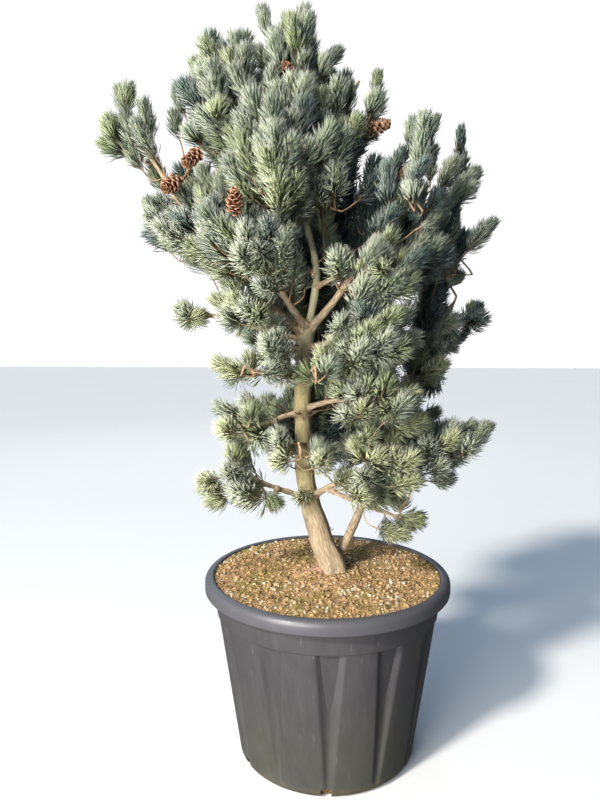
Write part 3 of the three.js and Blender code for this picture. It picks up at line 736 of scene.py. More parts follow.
def hides_cone(points):
    """Which points lie within a seed cone's own space, or just before it seen from the front"""
    cones = np.array([row[:3] for row in CONES[:CLEAR_CONES]], float)
    run = np.atleast_2d(points)[:, None] - cones
    forward = unit(FRONT_EYE - cones)
    before = (run * forward).sum(axis=2)
    beside = np.linalg.norm(run - before[..., None] * forward, axis=2)
    return ((beside < CONE_SPACE) & (before > -BEHIND_CONE) & (before < BEFORE_CONE)).any(axis=1)


def turns_back(run, way, least):
    """Whether a twig that makes a run would then have to turn back to the way of its spray"""
    away = np.linalg.norm(run)
    return away > NO_TURN and run @ way < least * away


def misplaced(heart, joint, end, tip):
    """Whether a spray stands outside the crown, in open sky, or before the trunk where it shows"""
    full, apart = fill_of(tip)
    outside = apart[0] > OUTSIDE and full[0] < HOLLOW
    open_sky = in_the_sky([heart, tip], SKY_SPACE).any() or in_rounds(lerp(joint, end, 0.4), SKY, 6)[0]
    return outside or open_sky or hides_trunk([tip, lerp(joint, end, 0.5)]).any()


def astray(root, joint):
    """Whether a twig's middle stands outside the crown or in open sky"""
    middle = lerp(root, joint, 0.5)
    return fill_of(middle)[1][0] > CLEAR_OUT or in_rounds(middle, SKY, SKY_EDGE)[0]


class Crown:
    """What has grown so far: the wood that a twig can leave, the twigs, and the sprays with the
    middles of their needles"""

    def __init__(self):
        shares = np.linspace(0.34, 1, 40)
        self.wood = np.vstack([limb.line.at(shares) for limb in limbs.values()])
        self.twigs, self.sprays, self.hearts = [], [], []

    def add_twig(self, start, control, end, thick, thin):
        """A twig that leaves start towards control and ends at end"""
        middle = (start + 2 * control + end) / 4
        self.twigs.append(Twig(np.array([start, middle, end]), thick, thin))
        line = bent_line(start, control, end, 4)
        self.wood = np.vstack([self.wood, line.points[1:]])

    def nearest(self, joint, way):
        """The place on the wood that a twig to a joint leaves: near it, rather behind it, and
        with no open sky between"""
        run = joint - self.wood
        away = np.linalg.norm(run, axis=1)
        order = np.argsort(away * 1.5 - run @ way)[:30]
        middles = (self.wood[order] + joint) / 2 - way * away[order, None] * 0.2
        return self.wood[order[np.argmin(in_the_sky(middles, SKY_EDGE))]]

    def grow(self, heart, way, random, run, open_angle, longest, small=1.0, club=False, root=None):
        """A spray with the middle of its needles at heart, and the twig that carries it from a
        root, if there is wood near enough. A club may stand clear of the crown."""
        length = LEAF * small * random.uniform(0.88, 1.12)
        end = heart - way * length * 0.2
        joint = end - way * run
        tip = end + way * length * 0.9
        if hides_cone([heart, tip]).any() or (not club and misplaced(heart, joint, end, tip)):
            return
        strong = root is not None
        root = root if strong else self.nearest(joint, way)
        while run > SHORT_RUN and turns_back(joint - root, way, SHARP_TURN):
            run *= 0.8
            joint = end - way * run
            root = root if strong else self.nearest(joint, way)
        away = np.linalg.norm(joint - root)
        if away > longest or not clear_of_limbs([end, lerp(joint, end, 0.5)], 5):
            return
        if not strong and not club and turns_back(joint - root, way, SHARPEST_TURN):
            return
        if not club and away > LONG_TWIG and astray(root, joint):
            return
        if strong:
            self.add_twig(root, joint - way * away * 0.4 - UP * 5, joint, *STRONG_RADII)
        elif away > NO_TWIG:
            control = joint - way * away * 0.45 - UP * away * 0.06
            self.add_twig(root, control, joint, 1.7 + away * 0.007, 1.6)
        else:
            joint = root
        side = sides_of(way)[0] * random.normal(0, 0.05) * run
        bow = side - UP * run * 0.05
        self.twigs.append(Twig(np.array([joint, (joint + end) / 2 + bow, end]), *SPRAY_RADII))
        self.wood = np.vstack([self.wood, lerp(joint, end, 0.35)])
        bare = 0.12 if run > 45 else 0.08
        self.sprays.append(Spray(joint, end, bow, bare, length, open_angle, 0.0))
        self.hearts.append(heart)


def visual_open(own, random):
    """How wide a mass's sprays open, tight brushes near the top and open fans lower down"""
    return math.radians((own.open * 1.6 - 27) * random.uniform(0.88, 1.15))


def spray_way(place, own, random):
    """Where a spray points: up, the more so near the top, and away from the trunk and from the
    middle of its mass"""
    away = unit(from_trunk(place) * [1, 1, 0.15])
    radial = (place - own.middle) / own.reach
    way = away * (1.05 - own.lift) + UP * (0.3 + own.lift) + radial * 0.5
    return unit(way + random.normal(0, 0.2, 3))


def shoot_aim(own, outward, drawn):
    """Where a shoot points: outwards, drawn up, and sideways rather than down under a mass"""
    aim = outward * (1 - 0.5 * own.lift) + UP * own.lift
    aim = unit(aim + np.array([drawn() - 0.5, drawn() - 0.5, drawn() - 0.5]) * 0.4)
    if own.lift > 0 and aim[2] < -0.2:
        aim[2] = -0.2 + 0.35 * (aim[2] + 0.2)
    return unit(aim)


def grow_mass(index, own, grown):
    """The source's rule: shoots turned evenly round the stem by the golden angle. One that
    doesn't fit is turned and drawn in little by little, and is left out if it never fits. Each is
    carried on to a spray at its tip."""
    drawn = Seeded(4001 + 97 * index)
    drawn()
    if own.core:
        drawn()
    random = np.random.default_rng(500 + index)
    stem = stem_of(own)
    grown.wood = np.vstack([grown.wood, stem.at(np.linspace(0.15, 1, 14))])
    leaning = own.middle * [0.0012, 0.0012, 0]
    full_size = min(1, own.reach.sum() / SMALL_MASS)
    for i in range(own.shoots):
        for attempt in range(TRIES):
            size = full_size * (1 - 0.4 * attempt / TRIES)
            rise = 1 - 2 * (i + 0.25 + 0.5 * drawn()) / own.shoots
            turn = i * GOLDEN_ANGLE + index + (0.4 + 0.12 * attempt) * (drawn() - 0.5)
            level = math.sqrt(1 - rise * rise)
            outward = unit(np.array([level * math.cos(turn), level * math.sin(turn), rise]) + leaning)
            aim = shoot_aim(own, outward, drawn)
            for _ in range(12):
                drawn()
            tip = own.middle + outward * own.reach * (1.04 - 0.45 * attempt / TRIES)
            heart = tip - aim * LEAF * HEART
            joint = tip - aim * SHOOT_BACK * size
            start = leaving_place(stem, joint, aim)
            hidden = hides_trunk(heart)[0] or shades_trunk(heart)[0]
            if depth_in_cell([heart, joint], index).min() < -OVERLAP or hidden:
                continue
            if not clear_of_limbs([lerp(heart, tip, 0.4), heart], 8):
                continue
            back = SHOOT_BACK * size * random.uniform(1.0, 1.4) - LEAF * 0.92
            run = max(28, min(back, (np.linalg.norm(tip - start) - LEAF) * 0.9))
            grown.grow(heart, aim, random, run, visual_open(own, random), LONGEST, root=start)
            break
    return stem


def fill_crown(grown):
    """Finer twigs with sprays through the whole crown: each place keeps its distance from the
    sprays before it, and the places nearest to the wood grow first, so that others leave them"""
    random = np.random.default_rng(SEEDS["crown"])
    low, high = (MIDDLES - REACHES).min(axis=0), (MIDDLES + REACHES).max(axis=0)
    places = random.uniform(low, high, (CANDIDATES, 3))
    full, apart = fill_of(places)
    hidden = hides_trunk(places) | shades_trunk(places)
    kept = ((apart < INSIDE) | (full > HOLLOW)) & ~hidden
    room = lerp(ROOM_OUT, ROOM_IN, smoothstep(full[kept], *FULLNESS))
    chosen = []
    taken = np.vstack([grown.hearts, club_places()[0]])
    for place, space in zip(places[kept], room):
        if np.linalg.norm((taken - place) * SQUASH, axis=1).min() > space:
            taken = np.vstack([taken, place])
            chosen.append(place)
    near = [np.linalg.norm(grown.wood - place, axis=1).min() for place in chosen]
    for place in np.array(chosen)[np.argsort(near)]:
        own = MASSES[cell_of(place)]
        way = spray_way(place, own, random)
        run = random.uniform(48, 76) + 34 * own.lift
        wide = visual_open(own, random)
        grown.grow(place, way, random, run, wide, LONGEST_FINE, random.uniform(0.85, 1.05))


def club_places():
    """The middle of the needles and the way of each shoot that stands clear of the outline"""
    random = np.random.default_rng(SEEDS["clubs"])
    clubs = np.array(CLUBS, float)
    tilts = np.radians(clubs[:, 3])
    ways = unit(np.stack([np.sin(tilts), random.uniform(-0.1, 0.1, len(CLUBS)), np.cos(tilts)], axis=1))
    return clubs[:, :3] - ways * LEAF * HEART, ways


def add_clubs(grown):
    """The shoots that stand clear of the crown's outline"""
    random = np.random.default_rng(SEEDS["clubs"])
    for heart, way, row in zip(*club_places(), CLUBS):
        grown.grow(heart, way, random, row[4], math.radians(row[5] * 0.8), LONGEST, 0.92, True)


def add_tuft(grown):
    """The little tuft that stands straight on the trunk"""
    start = on_trunk(TUFT_HEIGHT) + np.array([-4.0, -20, 0])
    end = start + np.array([-4.0, -26, -14])
    grown.twigs.append(Twig(np.array([start, (start + end) / 2, end]), 1.6, 1.2))
    grown.sprays.append(Spray(start, end, UP * -2.0, 0.1, 38, math.radians(52), 0.1))


def find_depths(grown):
    """How deep in the crown each spray is, by how many others stand further out than it"""
    hearts = np.array(grown.hearts)
    for spray, heart in zip(grown.sprays, hearts):
        away = unit(unit(from_trunk(heart) * [1, 1, 0]) + UP * 0.6)
        run = hearts - heart
        along = run @ away
        beside = np.linalg.norm(run - along[:, None] * away, axis=1)
        covered = ((along > FURTHER_OUT) & (beside < CLOSE_BESIDE)).sum()
        spray.depth = float(smoothstep(covered, 0, COVERING))


def grow_crown():
    """Every stem, twig and spray of the crown"""
    grown = Crown()
    stems = [grow_mass(index, own, grown) for index, own in enumerate(MASSES)]
    fill_crown(grown)
    add_clubs(grown)
    find_depths(grown)
    add_tuft(grown)
    return stems, grown.twigs, grown.sprays


def add_piece(name, made, materials, stands_for=()):
    """Makes a bmesh, or arrays, a finished piece of the part."""
    in_arrays = not isinstance(made, bmesh.types.BMesh)
    mesh = joined_mesh(name, *made) if in_arrays else mesh_from_bmesh(name, made)
    piece = bpy.data.objects.new(name, mesh)
    bpy.context.scene.collection.objects.link(piece)
    for material in materials:
        mesh.materials.append(material)
    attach(piece, "root")
    if stands_for:
        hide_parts(*stands_for)
    return piece


def mesh_from_bmesh(name, bm):
    for face in bm.faces:
        face.smooth = True
    mesh = bpy.data.meshes.new(name)
    bm.to_mesh(mesh)
    bm.free()
    return mesh


def joined_mesh(name, places, corners, looks=None):
    """One mesh from arrays: places in millimetres, triangles and each triangle's material"""
    places = np.asarray(places, np.float32).reshape(-1, 3) * MM
    corners = np.asarray(corners, np.int32).reshape(-1, 3)
    mesh = bpy.data.meshes.new(name)
    mesh.vertices.add(len(places))
    mesh.vertices.foreach_set("co", places.ravel())
    mesh.loops.add(corners.size)
    mesh.loops.foreach_set("vertex_index", corners.ravel())
    mesh.polygons.add(len(corners))
    mesh.polygons.foreach_set("loop_start", np.arange(0, corners.size, 3, dtype=np.int32))
    mesh.polygons.foreach_set("use_smooth", np.ones(len(corners), bool))
    if looks is not None:
        mesh.polygons.foreach_set("material_index", np.asarray(looks, np.int32).ravel())
    mesh.update(calc_edges=True)
    mesh.validate()
    return mesh


def tubes(paths, radii, sides):
    """Tapering tubes with closed ends: paths of points (tube, step, 3) and radii (tube, step)"""
    paths = np.asarray(paths, float)
    count, steps, _ = paths.shape
    ahead = unit(np.gradient(paths, axis=1))
    side, other = sides_of(np.repeat(ahead.mean(axis=1, keepdims=True), steps, axis=1))
    angles = np.arange(sides) * 2 * math.pi / sides
    ring = side[:, :, None] * np.cos(angles)[:, None] + other[:, :, None] * np.sin(angles)[:, None]
    rings = paths[:, :, None] + ring * np.asarray(radii)[:, :, None, None]
    ends = np.stack([paths[:, 0], paths[:, -1] + ahead[:, -1] * radii[:, -1:]], axis=1)
    places = np.concatenate([rings.reshape(count, -1, 3), ends], axis=1)
    corners = []
    foot, head = steps * sides, steps * sides + 1
    for k in range(sides):
        after = (k + 1) % sides
        corners.append((foot, after, k))
        corners.append((head, (steps - 1) * sides + k, (steps - 1) * sides + after))
        for row in range(steps - 1):
            a, b = row * sides + k, row * sides + after
            corners += [(a, b, b + sides), (a, b + sides, a + sides)]
    first = np.arange(count)[:, None, None] * places.shape[1]
    return places.reshape(-1, 3), (np.array(corners)[None] + first).reshape(-1, 3)


def needle_arrays(bases, aims, outs, lengths, widths, curls):
    """Slim closed blades, pointed at both ends, bent outwards and widest at the bend. The outer
    side of each is its first two faces."""
    side = unit(np.cross(aims, outs))
    out = np.cross(side, aims)
    middle = bases + aims * (lengths * WIDEST)[:, None] + out * (curls * lengths)[:, None]
    half = side * (widths / 2)[:, None]
    places = np.stack([bases, middle - half, middle + half, bases + aims * lengths[:, None]], axis=1)
    pattern = np.array([(1, 2, 3), (2, 1, 0), (0, 1, 3), (0, 3, 2)])
    looks = np.tile([0, 0, 1, 1], len(bases))
    corners = (pattern[None] + np.arange(len(bases))[:, None, None] * 4).reshape(-1, 3)
    return places.reshape(-1, 3), corners, looks


def spray_needles(spray, random, close, per_bundle, width):
    """Bundles of needles in a spiral round a spray's twig, the last ones closed round its bud"""
    run = np.linalg.norm(spray.end - spray.start) * (1 - spray.bare)
    bundles = max(8, round((run + 18) * close))
    along = ((np.arange(bundles) + random.uniform(0.2, 0.8, bundles)) / bundles) ** 0.65
    share = spray.bare + (1 - spray.bare) * along
    turn = np.arange(bundles) * GOLDEN_ANGLE + random.uniform(0, 2 * math.pi)
    share = np.repeat(share, per_bundle)
    turn = np.repeat(turn, per_bundle) + random.uniform(-0.42, 0.42, share.size)
    axis = unit(spray.end - spray.start + 4 * spray.bow * (1 - 2 * share[:, None]))
    side, other = sides_of(axis)
    lean = spray.open * (1.25 - 0.45 * share**3) * random.uniform(0.25, 1.15, share.size)
    out = np.cos(turn)[:, None] * side + np.sin(turn)[:, None] * other
    aims = np.cos(lean)[:, None] * axis + np.sin(lean)[:, None] * out
    aims = unit(aims + UP * 0.1 + random.normal(0, 0.09, aims.shape))
    bases = spray.start + (spray.end - spray.start) * share[:, None] + out * 1.0
    bases = bases + spray.bow * (4 * share * (1 - share))[:, None]
    lengths = spray.length * random.uniform(0.92, 1.05, share.size) * (1.05 - 0.15 * share**2)
    widths = width * random.uniform(0.85, 1.15, share.size)
    curls = random.uniform(0.015, 0.07, share.size)
    return needle_arrays(bases, aims, out, lengths, widths, curls)


def joined(parts):
    """Several (places, corners, looks) as one, or (places, corners)"""
    shift, corners = 0, []
    for part in parts:
        corners.append(part[1] + shift)
        shift += len(part[0])
    found = [np.vstack([part[0] for part in parts]), np.vstack(corners)]
    if len(parts[0]) > 2:
        found.append(np.concatenate([part[2] for part in parts]))
    return found


def set_socket(tree, socket, value):
    """Gives a socket a value, or links another node's socket to it."""
    if isinstance(value, bpy.types.NodeSocket):
        tree.links.new(value, socket)
    else:
        socket.default_value = value


def add_node(tree, kind, inputs=None, **settings):
    """A shader node with its settings, and its inputs as values or as other nodes' sockets"""
    made = tree.nodes.new("ShaderNode" + kind)
    for key, value in settings.items():
        setattr(made, key, value)
    for key, value in (inputs or {}).items():
        set_socket(tree, made.inputs[key], value)
    return made


def add_ramp(tree, factor, stops):
    """A colour ramp from (place, colour) stops"""
    ramp = add_node(tree, "ValToRGB", {"Fac": factor})
    elements = ramp.color_ramp.elements
    while len(elements) < len(stops):
        elements.new(0.5)
    for element, (place, colour) in zip(elements, stops):
        element.position = place
        element.color = (*colour, 1)
    return ramp.outputs["Color"]


def mixed(tree, factor, first, second):
    """Two colours mixed by a factor"""
    made = add_node(tree, "Mix", {0: factor}, data_type="RGBA")
    for slot, colour in ((6, first), (7, second)):
        plain = not isinstance(colour, bpy.types.NodeSocket)
        set_socket(tree, made.inputs[slot], (*colour[:3], 1) if plain else colour)
    return made.outputs[2]


def calculated(tree, operation, *values):
    """The result of a Math node"""
    return add_node(tree, "Math", dict(enumerate(values)), operation=operation).outputs[0]


def times(tree, first, second):
    return calculated(tree, "MULTIPLY", first, second)


def shared(tree, first, second, share):
    """Two values added up, the first with a share of the whole and the second with what is left"""
    left = calculated(tree, "SUBTRACT", 1.0, share)
    return calculated(tree, "ADD", times(tree, first, share), times(tree, second, left))


def ranged(tree, value, low, high, first=0.0, last=1.0):
    """A value brought from the range between low and high to the one between first and last"""
    inputs = {"Value": value, "From Min": low, "From Max": high, "To Min": first, "To Max": last}
    return add_node(tree, "MapRange", inputs).outputs["Result"]


def speckled(tree, place, scale, detail):
    """Plain noise"""
    made = add_node(tree, "TexNoise", {"Vector": place, "Scale": scale, "Detail": detail})
    return made.outputs["Fac"]


def parts_of(tree, place):
    """The X, Y and Z of a place"""
    return add_node(tree, "SeparateXYZ", {"Vector": place}).outputs


def squeezed(tree, place, share):
    """A place with its Z times a share, which draws a pattern out along Z"""
    x, y, z = parts_of(tree, place)
    made = add_node(tree, "CombineXYZ", {"X": x, "Y": y, "Z": times(tree, z, share)})
    return made.outputs["Vector"]


def new_group(name, outputs, **defaults):
    """An empty node group that takes a place and some numbers and puts out numbers"""
    group = bpy.data.node_groups.new(name, "ShaderNodeTree")
    group.interface.new_socket("Place", in_out="INPUT", socket_type="NodeSocketVector")
    for label, default in defaults.items():
        socket = group.interface.new_socket(label, in_out="INPUT", socket_type="NodeSocketFloat")
        socket.default_value = default
    for label in outputs:
        group.interface.new_socket(label, in_out="OUTPUT", socket_type="NodeSocketFloat")
    given, out = group.nodes.new("NodeGroupInput"), group.nodes.new("NodeGroupOutput")
    return group, given.outputs, out.inputs


def mottling_group():
    """Soft cloudy patches with finer specks over them: a mask that any finish can use"""
    group, given, out = new_group("Mottling", ["Mask"], Scale=20.0, Fineness=6.0, Speckle=0.4)
    cloud = speckled(group, given["Place"], given["Scale"], 4.0)
    speck = speckled(group, given["Place"], times(group, given["Scale"], given["Fineness"]), 3.0)
    total = shared(group, speck, cloud, given["Speckle"])
    group.links.new(ranged(group, total, 0.3, 0.7), out["Mask"])
    return group


def furrow_group():
    """Bark furrows that run along a limb and ring scars across it: a mask and a height"""
    outputs = ["Mask", "Height"]
    group, given, out = new_group("Furrows", outputs, Scale=90.0, Stretch=0.3, Rings=0.4)
    drawn = squeezed(group, given["Place"], given["Stretch"])
    inputs = {"Vector": drawn, "Scale": given["Scale"]}
    cracks = add_node(group, "TexVoronoi", inputs, feature="DISTANCE_TO_EDGE")
    edge = ranged(group, cracks.outputs["Distance"], 0.0, 0.22)
    ring = speckled(group, squeezed(group, given["Place"], 6.0), 60.0, 3.0)
    total = shared(group, ranged(group, ring, 0.62, 0.52), edge, given["Rings"])
    for label in outputs:
        group.links.new(total, out[label])
    return group


def placed_group(tree, name, builder, **inputs):
    """A shared node group, built once, placed in a material with its own values"""
    group = bpy.data.node_groups.get(name) or builder()
    return add_node(tree, "Group", inputs, node_tree=group).outputs


def mottled(tree, place, scale, fineness, speckle):
    """The mask of the mottling group with a material's own values"""
    values = {"Place": place, "Scale": scale, "Fineness": fineness, "Speckle": speckle}
    return placed_group(tree, "Mottling", mottling_group, **values)["Mask"]


def new_material(name, **shader_values):
    """A material's tree and its shader, with the shader's constant values set on its sockets"""
    material = bpy.data.materials.new(name)
    material.use_nodes = True
    tree = material.node_tree
    shader = tree.nodes["Principled BSDF"]
    for key, value in shader_values.items():
        shader.inputs[key.replace("_", " ")].default_value = value
    return material, tree, shader


def object_place(tree):
    return add_node(tree, "TexCoord").outputs["Object"]


def bark_place(tree):
    """The place on a limb as if it were straight, so that bark follows it round every bend"""
    return add_node(tree, "Attribute", attribute_name="bark_place").outputs["Vector"]


def set_bump(tree, shader, height, strength, distance):
    bump = add_node(tree, "Bump", {"Height": height, "Strength": strength, "Distance": distance})
    tree.links.new(bump.outputs["Normal"], shader.inputs["Normal"])


def pot_material(sizes):
    """Dark grey moulded plastic, bleached in streaks, scuffed, with algae low down, and with a
    painted bluish highlight on the rim
    """
    material, tree, shader = new_material("nursery_plastic", Specular_IOR_Level=0.5)
    place = object_place(tree)
    shades = {name: tuple(min(1, c * much) for c in sizes.pot_colour) for name, much in SHADES.items()}
    streaks = mottled(tree, squeezed(tree, place, 0.22), 11.0, 7.0, 0.45)
    stops = [(0.05, shades["dark"]), (0.5, shades["plain"]), (0.95, shades["faded"])]
    colour = add_ramp(tree, streaks, stops)
    height = parts_of(tree, place)["Z"]
    patches = mottled(tree, place, 5.0, 9.0, 0.35)
    damp = times(tree, ranged(tree, height, *ALGAE_BAND), patches)
    colour = mixed(tree, times(tree, damp, 0.4), colour, ALGAE)
    grit = times(tree, ranged(tree, height, *SPLASH_BAND), patches)
    colour = mixed(tree, grit, colour, SPLASHED_SOIL)
    values = {"Vector": place, "Rotation": (0.5, 0.9, 0.2), "Scale": (1.0, 1.0, 0.05)}
    slanted = add_node(tree, "Mapping", values).outputs["Vector"]
    scuffs = times(tree, ranged(tree, speckled(tree, slanted, 130.0, 2.0), 0.7, 0.76), 0.45)
    colour = mixed(tree, scuffs, colour, shades["scratched"])
    # Painted highlight: the rim's colour is drawn towards a pale bluish grey; its lower roughness is real
    rim = ranged(tree, height, *RIM_BAND)
    colour = mixed(tree, times(tree, rim, 0.8), colour, RIM_PAINTED_HIGHLIGHT)
    tree.links.new(colour, shader.inputs["Base Color"])
    rough = ranged(tree, streaks, 0.0, 1.0, 0.4, 0.58)
    rubbed = calculated(tree, "SUBTRACT", rough, times(tree, rim, 0.1))
    tree.links.new(rubbed, shader.inputs["Roughness"])
    set_bump(tree, shader, speckled(tree, place, 420.0, 2.0), 0.12, 0.0006)
    return material


def soil_material(name, low, high):
    """Crumbly peat and bark in browns, with mossy patches"""
    material, tree, shader = new_material(name, Roughness=0.95, Specular_IOR_Level=0.25)
    place = object_place(tree)
    stops = [(0.2, low), (0.45, lerp_colour(low, high, 0.6)), (0.85, high)]
    colour = add_ramp(tree, mottled(tree, place, 70.0, 5.0, 0.55), stops)
    moss = ranged(tree, mottled(tree, place, 9.0, 12.0, 0.5), 0.55, 0.9, 0.0, 0.75)
    tree.links.new(mixed(tree, moss, colour, MOSSY_SOIL), shader.inputs["Base Color"])
    set_bump(tree, shader, speckled(tree, place, 260.0, 6.0), 0.8, 0.003)
    return material


def lerp_colour(first, second, share):
    return tuple(a + (b - a) * share for a, b in zip(first, second))


def grain_material(name, looks=None):
    """A small grain, bud or scale: two colours dealt out by soft patches"""
    low, high, scale, roughness = looks or GRAINS[name]
    material, tree, shader = new_material(name, Roughness=roughness, Specular_IOR_Level=0.3)
    mask = mottled(tree, object_place(tree), scale, 4.0, 0.5)
    tree.links.new(add_ramp(tree, mask, [(0.1, low), (0.9, high)]), shader.inputs["Base Color"])
    return material


def bark_material(name, plate=None):
    """Bark: dark furrows between plates, with a pale or green bloom in patches over them"""
    material, tree, shader = new_material(name, Roughness=0.85, Specular_IOR_Level=0.3)
    furrow, usual_plate, bloom, scale, stretch, rings, strength = BARKS[name]
    plate = plate or usual_plate
    place = bark_place(tree)
    values = {"Place": place, "Scale": scale, "Stretch": stretch, "Rings": rings}
    furrows = placed_group(tree, "Furrows", furrow_group, **values)
    patches = mottled(tree, place, 24.0, 7.0, 0.4)
    stops = [(0.0, lerp_colour(furrow, plate, 0.6)), (0.55, plate), (1.0, bloom)]
    colour = mixed(tree, furrows["Mask"], furrow, add_ramp(tree, patches, stops))
    tree.links.new(colour, shader.inputs["Base Color"])
    set_bump(tree, shader, furrows["Height"], strength, 0.002)
    return material, tree, shader, colour, place


def trunk_material(sizes):
    """The trunk's bark: pinkish tan at the foot, grey and green with algae higher up, and paler near
    and above the fork, partly its own pale grey-green and partly painted light
    """
    plate = tuple(sizes.bark_colour)
    material, tree, shader, colour, place = bark_material("trunk_bark", plate)
    height = parts_of(tree, object_place(tree))["Z"]
    algae = mottled(tree, place, 13.0, 8.0, 0.35)
    green = times(tree, ranged(tree, height, *GREEN_BAND), algae)
    colour = mixed(tree, times(tree, green, 0.75), colour, TRUNK_ALGAE)
    # Partly painted light: higher up the bark is drawn paler, its own grey-green and light in place of the
    # sprays' shade
    pale = ranged(tree, height, *PALE_AND_LIT_BAND)
    colour = mixed(tree, times(tree, pale, 0.45), colour, PALE_BARK_AND_PAINTED_LIGHT)
    for whorl_height in WHORL_SCARS:
        off = calculated(tree, "ABSOLUTE", calculated(tree, "SUBTRACT", height, whorl_height))
        scar = times(tree, ranged(tree, off, 0.018, 0.004), algae)
        colour = mixed(tree, scar, colour, SCAR)
    tree.links.new(colour, shader.inputs["Base Color"])
    return material


def needle_material(name, colour):
    """A waxy needle face that lets light through: one plain colour, glossier in patches"""
    material, tree, shader = new_material(
        name,
        Base_Color=(*colour, 1),
        Specular_IOR_Level=0.22,
        Subsurface_Weight=0.75,
        Subsurface_Radius=(1.0, 1.0, 0.7),
        Subsurface_Scale=0.005,
    )
    mask = mottled(tree, object_place(tree), 60.0, 5.0, 0.5)
    tree.links.new(ranged(tree, mask, 0.0, 1.0, 0.48, 0.68), shader.inputs["Roughness"])
    return material


def arc(centre, radius, first, last, steps):
    """Rows of radius and height on an arc, from one angle to another in degrees"""
    angles = np.radians(np.linspace(first, last, steps))
    return [(centre[0] + radius * math.cos(a), centre[1] + radius * math.sin(a)) for a in angles]


def wall_radius(z):
    return lerp(FOOT_RADIUS, WALL_TOP_RADIUS, z / COLLAR_FOOT)


def pot_rows():
    """The pot's section: foot, wall, collar, rolled rim, and the inside down to the floor"""
    rim_foot = POT_HEIGHT - RIM_DEPTH
    roll = 14.5 * MM
    foot = arc((wall_radius(FOOT_ROUND) - FOOT_ROUND, FOOT_ROUND), FOOT_ROUND, -90, -4, 8)
    wall = [(wall_radius(z), z) for z in np.linspace(FOOT_ROUND + 4 * MM, COLLAR_FOOT, 14)]
    collar = arc((COLLAR_RADIUS - 5 * MM, COLLAR_FOOT + 2.6 * MM), 2.4 * MM, -80, 0, 4)
    lip = arc((RIM_RADIUS - 5 * MM, rim_foot + 5 * MM), 5 * MM, -90, 0, 5)
    top = arc((RIM_RADIUS - roll, POT_HEIGHT - roll), roll, 0, 90, 8)
    inner = arc((LIP_MOUTH + 5 * MM, POT_HEIGHT - 5 * MM), 5 * MM, 90, 180, 6)
    inside = [(RIM_MOUTH, MOUTH_HEIGHT - 14 * MM), (INNER_FOOT, FLOOR), (0, FLOOR)]
    under = [(COLLAR_RADIUS, rim_foot - 2 * MM), (COLLAR_RADIUS + 2 * MM, rim_foot)]
    return [(0, 0), (INNER_FOOT - 20 * MM, 0), *foot, *wall, *collar, *under, *lip, *top, *inner, *inside]


def spun(rows, steps):
    """A bmesh turned round the Z axis from rows of radius and height"""
    bm = bmesh.new()
    points = [bm.verts.new((r, 0, z)) for r, z in rows]
    edges = [bm.edges.new(pair) for pair in zip(points, points[1:])]
    bmesh.ops.spin(
        bm,
        geom=points + edges,
        cent=(0, 0, 0),
        axis=(0, 0, 1),
        angle=2 * math.pi,
        steps=steps,
        use_merge=True,
        use_duplicate=False,
    )
    bmesh.ops.remove_doubles(bm, verts=bm.verts, dist=1e-6)
    in_order(bm)
    bmesh.ops.recalc_face_normals(bm, faces=bm.faces)
    return bm


def corner_rank(part):
    """A number that tells an edge or a face of a spun bmesh from the others, by its corners"""
    corners = [v.index for v in part.verts]
    return max(corners) * 1e7 + sum(corners)


def in_order(bm):
    """Sorts the edges and the faces, which a spin deals out in another order each run."""
    bm.verts.index_update()
    bm.edges.sort(key=corner_rank)
    bm.faces.sort(key=corner_rank)


def flute_depth(turn, z, depth):
    """How far the wall is drawn in: a hollow channel, narrower and shallower to the foot"""
    if z > COLLAR_FOOT + 0.1 * MM:
        return 0.0
    pitch = 2 * math.pi / FLUTES
    off = abs((turn - FLUTE_TURN + pitch / 2) % pitch - pitch / 2)
    width = lerp(0.07, 0.235, z / COLLAR_FOOT) * pitch
    fade = lerp(0.3, 1.0, z / COLLAR_FOOT) * smoothstep(z, 0.004, 0.05)
    return depth * max(0.0, 1 - (off / width) ** 2) * fade


def cut_away(piece, cutter):
    """Cuts one mesh out of another and keeps the result as the piece's own mesh."""
    cut = piece.modifiers.new("cut", "BOOLEAN")
    cut.object = cutter
    cut.operation = "DIFFERENCE"
    cut.solver = "EXACT"
    depsgraph = bpy.context.evaluated_depsgraph_get()
    result = bpy.data.meshes.new_from_object(piece.evaluated_get(depsgraph))
    piece.modifiers.clear()
    piece.data = result
    bpy.data.objects.remove(cutter)


def drain_cutter():
    """The slots at the foot of the wall, as one mesh of rounded blocks"""
    bm = bmesh.new()
    block = Matrix.Translation((0, -FOOT_RADIUS, 0)) @ Matrix.Diagonal((*DRAIN_SIZE, 1))
    for i in range(DRAINS):
        turned = Matrix.Rotation(2 * math.pi * i / DRAINS, 4, "Z")
        bmesh.ops.create_cube(bm, size=1, matrix=turned @ block)
    heights = [(e, e.verts[0].co.z, e.verts[1].co.z) for e in bm.edges]
    top = [e for e, first, second in heights if first > 0 and abs(first - second) < 1e-6]
    bmesh.ops.bevel(bm, geom=top, offset=2 * MM, affect="EDGES", segments=3, profile=0.5, material=-1)
    piece = bpy.data.objects.new("drain_cutter", mesh_from_bmesh("drain_cutter", bm))
    bpy.context.scene.collection.objects.link(piece)
    return piece


def soil_height(x, y):
    """The soil's surface: a low mound at the trunk, sunk at the edge, with crumbly relief"""
    away = math.hypot(x, y)
    edge = LIP_MOUTH - 2 * MM
    base = lerp(MOUND_TOP, SOIL_TOP_EDGE, smoothstep(away, MOUND_RADIUS * 0.4, MOUND_RADIUS * 2))
    broad = noise.noise(Vector((x * 14, y * 14, 3.1)))
    crumb = noise.fractal(Vector((x * 70, y * 70, 0.0)), 0.9, 2.1, 5)
    calm = smoothstep(away, edge, edge - 12 * MM)
    return base - 1 * MM + (broad * BROAD_RELIEF * MM + crumb * CRUMB_RELIEF * MM) * (0.3 + 0.7 * calm)


